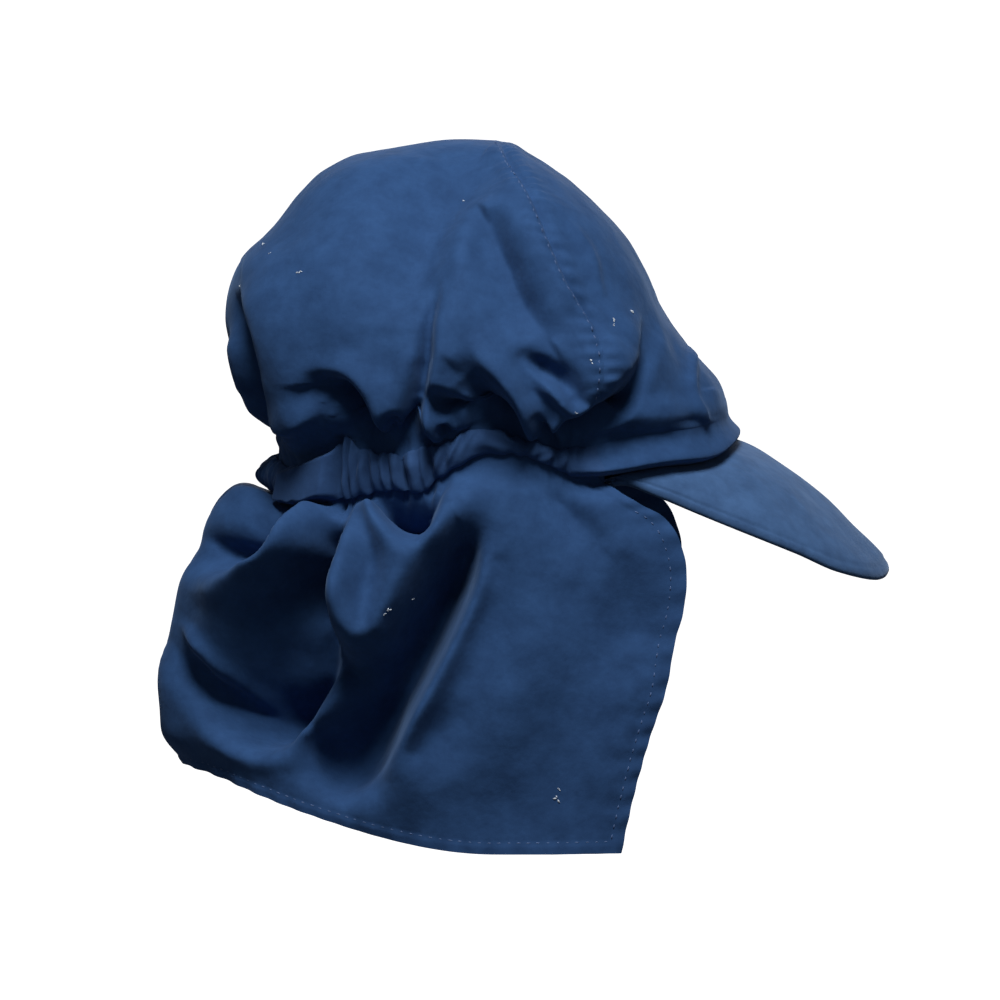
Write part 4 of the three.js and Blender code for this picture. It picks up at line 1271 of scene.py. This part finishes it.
def lint_on(pieces):
    """Pale specks of lint that lie on the outermost cloth at each given place."""
    random = np.random.default_rng(9)
    spots = of_all_vertices(pieces, "co") / MM
    normals = of_all_vertices(pieces, "normal")
    near = spots[:, 1] < 0
    spots, normals = spots[near], normals[near]
    seen = seen_from_side(spots)
    bm = bmesh.new()
    for forward, up, size in zip(lint_specks["forward"], lint_specks["up"], lint_specks["size"]):
        off = ((seen - [forward, up]) ** 2).sum(-1)
        outermost = np.where(off < SPECK_SEARCH, spots[:, 1], 0)
        nearest = int(np.argmin(outermost))
        for _ in range(GRAINS_IN_SPECK):
            away = np.cross(normals[nearest], random.normal(size=3)) * size
            spot = spots[nearest] + away + normals[nearest] * 0.1
            length = size * random.uniform(1.4, 2.4)
            grain_of_thread(bm, spot, spot + away, normals[nearest], length, size * 0.5)
    return piece_of_grains("lint", bm)


lint = lint_on([crown_back, crown_front, neck_flap])

# %% [markdown]
# ## Materials
# The cloth is brushed microfibre, a fine polyester with a peach skin: matt, with a soft bloom where
# it is seen at a low angle, and faintly mottled where it has been rubbed. It shows no threads at this
# distance, so its grain is drawn as a fine even noise.

# %% Colours and nodes
def colour(hex_value):
    """An sRGB hex colour as linear red, green, blue and alpha."""
    parts = [int(hex_value[k:k + 2], 16) / 255 for k in (1, 3, 5)]
    linear = [c / 12.92 if c <= 0.04045 else ((c + 0.055) / 1.055) ** 2.4 for c in parts]
    return (*linear, 1)


def add_node(tree, kind, links=None, **settings):
    """Adds one node. Settings are its own properties or its sockets by name."""
    node = tree.nodes.new(kind)
    for name, value in settings.items():
        if hasattr(node, name):
            setattr(node, name, value)
        else:
            node.inputs[name.replace("_", " ").title()].default_value = value
    for socket, source in (links or {}).items():
        tree.links.new(source, node.inputs[socket])
    return node


# %% Brushed microfibre
MOTTLE_MM = 9  # patches where the nap lies one way or the other
RUMPLE_MM = 7  # soft unevenness of a cloth that has been washed
GRAIN_MM = 0.7  # coarser than the real nap, which would be too fine to show


def microfibre(name, dark, light, sheen, bloom):
    """A matt cloth between two shades, with a bloom at its edges where the nap catches the light."""
    material = bpy.data.materials.new(name)
    material.use_nodes = True
    tree = material.node_tree
    skin = tree.nodes["Principled BSDF"]
    place = add_node(tree, "ShaderNodeTexCoord").outputs["Object"]
    mottle = add_node(tree, "ShaderNodeTexNoise", {"Vector": place}, Scale=1000 / MOTTLE_MM, Detail=5.0,
                      Roughness=0.65)
    ramp = add_node(tree, "ShaderNodeValToRGB", {"Fac": mottle.outputs["Fac"]})
    ramp.color_ramp.elements[0].position = 0.32
    ramp.color_ramp.elements[0].color = colour(dark)
    ramp.color_ramp.elements[1].position = 0.7
    ramp.color_ramp.elements[1].color = colour(light)
    tree.links.new(ramp.outputs["Color"], skin.inputs["Base Color"])
    grain = add_node(tree, "ShaderNodeTexNoise", {"Vector": place}, Scale=1000 / GRAIN_MM, Detail=2.0)
    rumple = add_node(tree, "ShaderNodeTexNoise", {"Vector": place}, Scale=1000 / RUMPLE_MM, Detail=2.0,
                      Roughness=0.5)
    soft_bump = add_node(tree, "ShaderNodeBump", {"Height": rumple.outputs["Fac"]}, Strength=0.5,
                         Distance=0.8 * MM)
    both = {"Height": grain.outputs["Fac"], "Normal": soft_bump.outputs["Normal"]}
    bump = add_node(tree, "ShaderNodeBump", both, Strength=0.25, Distance=0.15 * MM)
    tree.links.new(bump.outputs["Normal"], skin.inputs["Normal"])
    skin.inputs["Roughness"].default_value = 0.88
    skin.inputs["Specular IOR Level"].default_value = 0.25
    skin.inputs["Sheen Weight"].default_value = sheen
    skin.inputs["Sheen Roughness"].default_value = 0.45
    skin.inputs["Sheen Tint"].default_value = colour(bloom)
    return material


def plain(name, hex_value, roughness):
    """One colour with one roughness."""
    material = bpy.data.materials.new(name)
    material.use_nodes = True
    skin = material.node_tree.nodes["Principled BSDF"]
    skin.inputs["Base Color"].default_value = colour(hex_value)
    skin.inputs["Roughness"].default_value = roughness
    return material


navy_microfibre = microfibre("navy brushed microfibre", "#20406B", "#2A4D7C", 0.28, "#7C9AC2")
casing_microfibre = microfibre("navy microfibre gathered on elastic", "#23406A", "#2D4D7B", 0.28, "#7C9AC2")
# the peak is handled most, so its cloth has worn paler and shows more bloom
# painted light: the peak's cloth is a paler, greyer copy of the navy, for the brighter light on its
# upturned top, with more bloom
peak_microfibre_painted_paler = microfibre("navy microfibre, worn on the peak", "#325079", "#40628F", 0.5, "#93A9C6")
# spun thread is smoother than the nap, so it looks a little paler and less matt
polyester_thread = plain("polyester sewing thread", "#465E88", 0.7)
# loose fluff scatters all light and has no gloss
pale_lint = plain("pale cotton lint", "#C9D2DC", 0.9)
finishes = (navy_microfibre, casing_microfibre, peak_microfibre_painted_paler, polyester_thread, pale_lint)
print("finishes:", [finish.name for finish in finishes])
for piece in (crown_back, crown_front, front_band, neck_flap):
    piece.data.materials.append(navy_microfibre)
# the peak takes the copy of the cloth that is painted paler for the light on its top
peak.data.materials.append(peak_microfibre_painted_paler)
elastic_casing.data.materials.append(casing_microfibre)
for piece in (hem_stitches, seam_stitches):
    piece.data.materials.append(polyester_thread)
lint.data.materials.append(pale_lint)

# %% [markdown]
# ## Joining the model
# Each sheet says which solid it stands for, which material slot it takes its finish from, and how
# large the cloth was when it was cut, before it was gathered.

# %% What each piece stands for
for piece, node, slot in (
    (crown_back, "crown_back", "crown_cloth"),
    (crown_front, "crown_front", "crown_cloth"),
    (elastic_casing, "elastic_casing", "casing_cloth"),
    (front_band, "front_band", "crown_cloth"),
    (peak, "peak", "peak_cloth"),
    (neck_flap, "neck_flap", "flap_cloth"),
):
    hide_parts(node)
    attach(piece, "root")
    print(piece.name, "stands for", node)
for piece, slot in ((hem_stitches, "flap_cloth"), (lint, "flap_cloth"), (seam_stitches, "crown_cloth")):
    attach(piece, "root")

# %% [markdown]
# ## Floor, light and camera
# The camera stands at the wearer's right and looks down by three degrees, with a long lens from far
# away. One soft lamp hangs on the camera's side, about sixty degrees up, and makes the deep shadows of
# the hollows. Lamps all round would be the usual way to show an object, but they would flatten the
# folds. A weak lamp lights the side that the camera doesn't see, and a weak even sky fills the shadows.

# %% Floor and backdrop
CARD_SIZE = 30  # metres from its middle to its edge, so that no edge shows
CARD_GLOW = 1.05  # white enough that no shadow shows on it


def pale_card(name, place, turn):
    """A large pale sheet that the camera sees but that throws no light on the hat."""
    bm = bmesh.new()
    bmesh.ops.create_grid(bm, x_segments=1, y_segments=1, size=CARD_SIZE)
    stand = Matrix.Translation(place) @ Matrix.Rotation(turn, 4, "X")
    bmesh.ops.transform(bm, matrix=stand, verts=bm.verts)
    mesh = bpy.data.meshes.new(name)
    bm.to_mesh(mesh)
    bm.free()
    card = bpy.data.objects.new(name, mesh)
    bpy.context.collection.objects.link(card)
    card.visible_diffuse = False
    card.visible_glossy = False
    return card


pale = plain("pale matt paper", "#F4F4F4", 1.0)
paper_skin = pale.node_tree.nodes["Principled BSDF"]
paper_skin.inputs["Emission Color"].default_value = colour("#FFFFFF")
paper_skin.inputs["Emission Strength"].default_value = CARD_GLOW
floor = pale_card("floor", Vector((0, 0, -0.32)), 0)
backdrop = pale_card("backdrop", Vector((0, 25, 0)), math.radians(90))
for card in (floor, backdrop):
    card.data.materials.append(pale)
    print(card.name, "is part of the stage")


# %% Light
def soft_lamp(name, place, aim, size, power):
    """A round lamp that faces a point. Places and size are in metres, the power is in watts."""
    data = bpy.data.lights.new(name, "AREA")
    data.shape = "DISK"
    data.size = size
    data.energy = power
    lamp = bpy.data.objects.new(name, data)
    lamp.location = place
    lamp.rotation_mode = "QUATERNION"
    lamp.rotation_quaternion = (Vector(aim) - Vector(place)).to_track_quat("-Z", "Y")
    bpy.context.collection.objects.link(lamp)
    print(name, "has", power, "watts")


hat_middle = (0.0, 0.0, -0.01)
soft_lamp("key lamp", place=(0.0, -0.88, 1.45), aim=hat_middle, size=0.75, power=32)
soft_lamp("far lamp", place=(0.2, 1.6, 0.7), aim=hat_middle, size=1.0, power=9)
world = bpy.data.worlds.new("even sky")
world.use_nodes = True
sky = world.node_tree.nodes["Background"]
sky.inputs["Color"].default_value = colour("#E8EEF8")
sky.inputs["Strength"].default_value = 0.1
bpy.context.scene.world = world
bpy.context.scene.view_settings.view_transform = "Standard"

# %% Camera
CAMERA_AWAY = 6.0  # metres
PICTURE_WIDTH = 0.380  # metres that the picture shows at the hat's middle
PICTURE_FORWARD = 0.00114  # the picture's middle lies this far in front of the origin
PICTURE_UP = -0.0152  # and this far below it
SENSOR = 36  # millimetres
lift = math.radians(SIDE_VIEW_LIFT)
camera_data = bpy.data.cameras.new("camera")
camera_data.sensor_width = SENSOR
camera_data.lens = SENSOR * CAMERA_AWAY / PICTURE_WIDTH
camera_data.clip_end = 200
camera = bpy.data.objects.new("camera", camera_data)
up_way = Vector((0, math.sin(lift), math.cos(lift)))
look_back = Vector((0, -math.cos(lift), math.sin(lift)))
aim = Vector((PICTURE_FORWARD, 0, 0)) + up_way * PICTURE_UP
camera.location = aim + look_back * CAMERA_AWAY
camera.rotation_mode = "QUATERNION"
camera.rotation_quaternion = (-look_back).to_track_quat("-Z", "Y")
bpy.context.collection.objects.link(camera)
bpy.context.scene.camera = camera
print("the lens is", round(camera_data.lens), "mm long")
